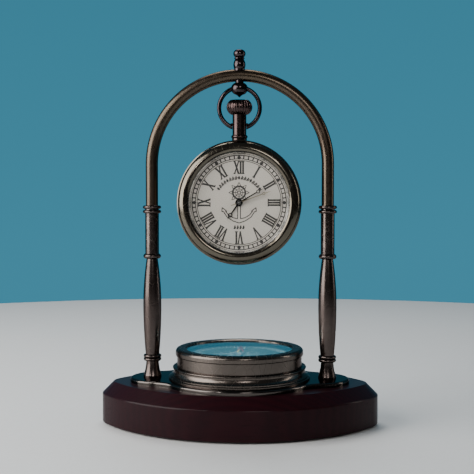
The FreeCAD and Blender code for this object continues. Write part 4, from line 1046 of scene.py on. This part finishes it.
@dataclass
class Compass(Assembly):
    """The compass under the watch: case, card with its printing, needle.

    Attributes:
        scale_outer: Radius of the degree scale's outside.
        scale_inner: Radius of its inside.
        letter_radius: Radius at the middle of the letters.
        letter_height: Height of the letters.
        long_point: Reach of the star's long points.
        short_point: Reach of its short points.
        print_height: Thickness of the printing.
    """

    finishes = {
        Finish.DRUM_BRONZE: "compass_drum compass_bezel compass_skirt",
        Finish.COMPASS_GLASS: "compass_glass",
        Finish.RUBBER: "compass_gasket",
        Finish.CARD: "compass_card",
        Finish.STEEL: "compass_pivot compass_screws",
        Finish.NEEDLE: "compass_needle",
        Finish.GILT: "needle_cap",
    }
    scale_outer: float = 30.2
    scale_inner: float = 27.4
    letter_radius: float = 23.0
    letter_height: float = 5.2
    long_point: float = 17.0
    short_point: float = 10.5
    print_height: float = 0.05

    def make(self) -> None:
        """Dresses the case and prints the card."""
        super().make()
        for draw in (self.degree_scale, self.rose):
            self.place(draw().thicken(self.print_height))
        for index, letter in enumerate("NESW"):
            self.place(self.letter(letter, index * 90))

    def place(self, piece: Piece) -> None:
        """Lays a flat piece on the card and paints it."""
        piece.location.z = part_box("compass_card")[1].z
        settle(piece)
        self.workshop.coat(piece, Finish.CARD_WHITE, "stand", "dial_white")

    def degree_scale(self) -> Drawing:
        """Two rings with a mark every five degrees."""
        drawing = Drawing("compass_scale")
        drawing.ring(self.scale_outer, 0.35)
        drawing.ring(self.scale_inner - 1.2, 0.25)
        for index in range(72):
            drawing.turned_pen(index * 5)
            foot = self.scale_inner if index % 2 else self.scale_inner - 1.2
            drawing.bar((0, foot), (0, self.scale_outer), 0.4 if index % 2 else 0.75)
        return drawing

    def rose(self) -> Drawing:
        """A plain eight-pointed star, its long points on the main directions."""
        drawing = Drawing("compass_rose")
        for index in range(8):
            drawing.turned_pen(index * 45)
            reach = self.short_point if index % 2 else self.long_point
            drawing.face([(0.5, 4.0), (1.5, 5.0), (0.0, reach), (0.0, 4.0)])
            drawing.bar((-0.7, 4.6), (-0.05, reach - 1.0), 0.2)
        drawing.turned_pen(0)
        drawing.ring(12.4, 0.25)
        return drawing

    def letter(self, letter: str, turn: float) -> Piece:
        """One letter of the card, upright on its own radius.

        Args:
            letter: The letter.
            turn: Its place, in degrees clockwise from the back.

        Returns:
            The letter as a flat mesh in metres.
        """
        deselect_all()
        bpy.ops.object.text_add()
        text = bpy.context.object
        text.name = f"compass_letter_{letter.lower()}"
        text.data.body = letter
        text.data.align_x = "CENTER"
        text.data.align_y = "CENTER"
        text.data.size = self.letter_height * MM * 1.4
        text.data.extrude = self.print_height * MM / 2
        bpy.ops.object.convert(target="MESH")
        piece = bpy.context.object
        around = Matrix.Rotation(-math.radians(turn), 4, "Z")
        out = Matrix.Translation((0, self.letter_radius * MM, self.print_height * MM / 2))
        piece.matrix_world = around @ out
        settle(piece)
        return piece


@dataclass
class Studio:
    """Pale floor, soft lights and the camera.

    Attributes:
        distance: From the clock's axis to the camera, level, in metres.
        height: Camera above the floor, in metres.
        turn: Camera's turn round the clock towards +X, in degrees.
        pitch: How far the camera looks down, in degrees.
        swing: How far it looks to the left of the axis, in degrees.
        lens: Focal length in millimetres on a 36 mm sensor.
        floor_radius: Radius of the round floor, in metres.
    """

    distance: float = 0.614
    height: float = 0.141
    turn: float = 3.0
    pitch: float = 2.4
    swing: float = 0.14
    lens: float = 75.95
    floor_radius: float = 0.75

    def make_camera(self) -> None:
        """Puts the camera at its place and makes it the scene's."""
        turn = math.radians(self.turn)
        place = (self.distance * math.sin(turn), -self.distance * math.cos(turn), self.height)
        bpy.ops.object.camera_add(location=place)
        camera = bpy.context.object
        camera.rotation_euler = (math.radians(90 - self.pitch), 0, turn + math.radians(self.swing))
        camera.data.lens = self.lens
        camera.data.sensor_width = 36.0
        bpy.context.scene.camera = camera

    def make_floor(self) -> None:
        """A wide round pale floor with the faintest mottling."""
        bpy.ops.mesh.primitive_circle_add(vertices=256, radius=self.floor_radius, fill_type="NGON")
        floor = bpy.context.object
        floor.name = "studio_floor"
        floor.data.materials.append(
            Matt("Floor", (0.74, 0.74, 0.74), (0.7, 0.7, 0.7), 0.6, 300.0, 0.00002, 3.0).build())

    def make_world(self) -> None:
        """A plain soft backdrop, and round the camera a dim room, so that polished metal stays deep."""
        world = bpy.data.worlds.new("Backdrop")
        bpy.context.scene.world = world
        world.use_nodes = True
        graph = Graph(world.node_tree)
        background = world.node_tree.nodes["Background"]
        way = graph.add("SeparateXYZ", Vector=graph.add("TexCoord").outputs["Generated"]).outputs
        up_wall = graph.remap(way["Z"], -0.05, 0.7, 0.0, 1.0)
        wall = graph.mix(up_wall, (0.05, 0.245, 0.36), (0.035, 0.165, 0.25))
        up_room = graph.remap(way["Z"], -0.3, 0.8, 0.0, 1.0)
        room = graph.mix(up_room, (0.03, 0.028, 0.026), (0.07, 0.072, 0.075))
        lit = graph.mix(graph.remap(way["Y"], -0.15, 0.35, 0.0, 1.0), room, wall)
        seen = graph.add("LightPath").outputs["Is Camera Ray"]
        colour = graph.mix(seen, lit, wall)
        graph.fill(background.inputs["Color"], colour)
        background.inputs["Strength"].default_value = 1.0

    def make_light(self, name: str, place: tuple[float, float, float], size: Point,
                   power: float, colour: Colour) -> None:
        """One soft area light that points at the watch.

        Args:
            name: Its name.
            place: Its place, in metres.
            size: Width and height of its face, in metres.
            power: Its power, in watts.
            colour: Its colour.
        """
        bpy.ops.object.light_add(type="AREA", location=place)
        light = bpy.context.object
        light.name = name
        light.data.shape = "RECTANGLE"
        light.data.size, light.data.size_y = size
        light.data.energy = power
        light.data.color = colour
        aim = Vector((0, 0, 0.11)) - Vector(place)
        light.rotation_euler = aim.to_track_quat("-Z", "Y").to_euler()

    def make(self) -> None:
        """Builds the whole studio."""
        deselect_all()
        self.make_camera()
        self.make_floor()
        self.make_world()
        self.make_light("window", (-0.8, -0.34, 0.42), (0.85, 0.85), 16.0, (1.0, 0.98, 0.95))
        self.make_light("lamp", (-0.45, -0.85, 0.5), (0.07, 0.07), 0.9, (1.0, 0.98, 0.95))
        self.make_light("front", (0.3, -1.3, 0.7), (0.4, 0.3), 3.2, (1.0, 0.97, 0.94))
        self.make_light("top", (-0.1, 0.4, 0.95), (0.5, 0.4), 5.0, (1.0, 0.98, 0.95))
        self.make_light("right", (0.8, 0.1, 0.3), (0.1, 0.5), 0.8, (1.0, 0.9, 0.8))


def corners(box: tuple[Vector, Vector]) -> list[list[float]]:
    """A box's two corners as plain lists of numbers."""
    return [[float(part) for part in corner] for corner in box]


def main() -> None:
    """Builds every sub-assembly and the studio."""
    logging.basicConfig(level=logging.INFO, format="%(message)s")
    workshop = Workshop()
    for assembly in (Stand, WatchCase, Movement, DialFace, Hands, Compass):
        assembly(workshop).make()
    Studio().make()


if __name__ == "__main__":
    main()
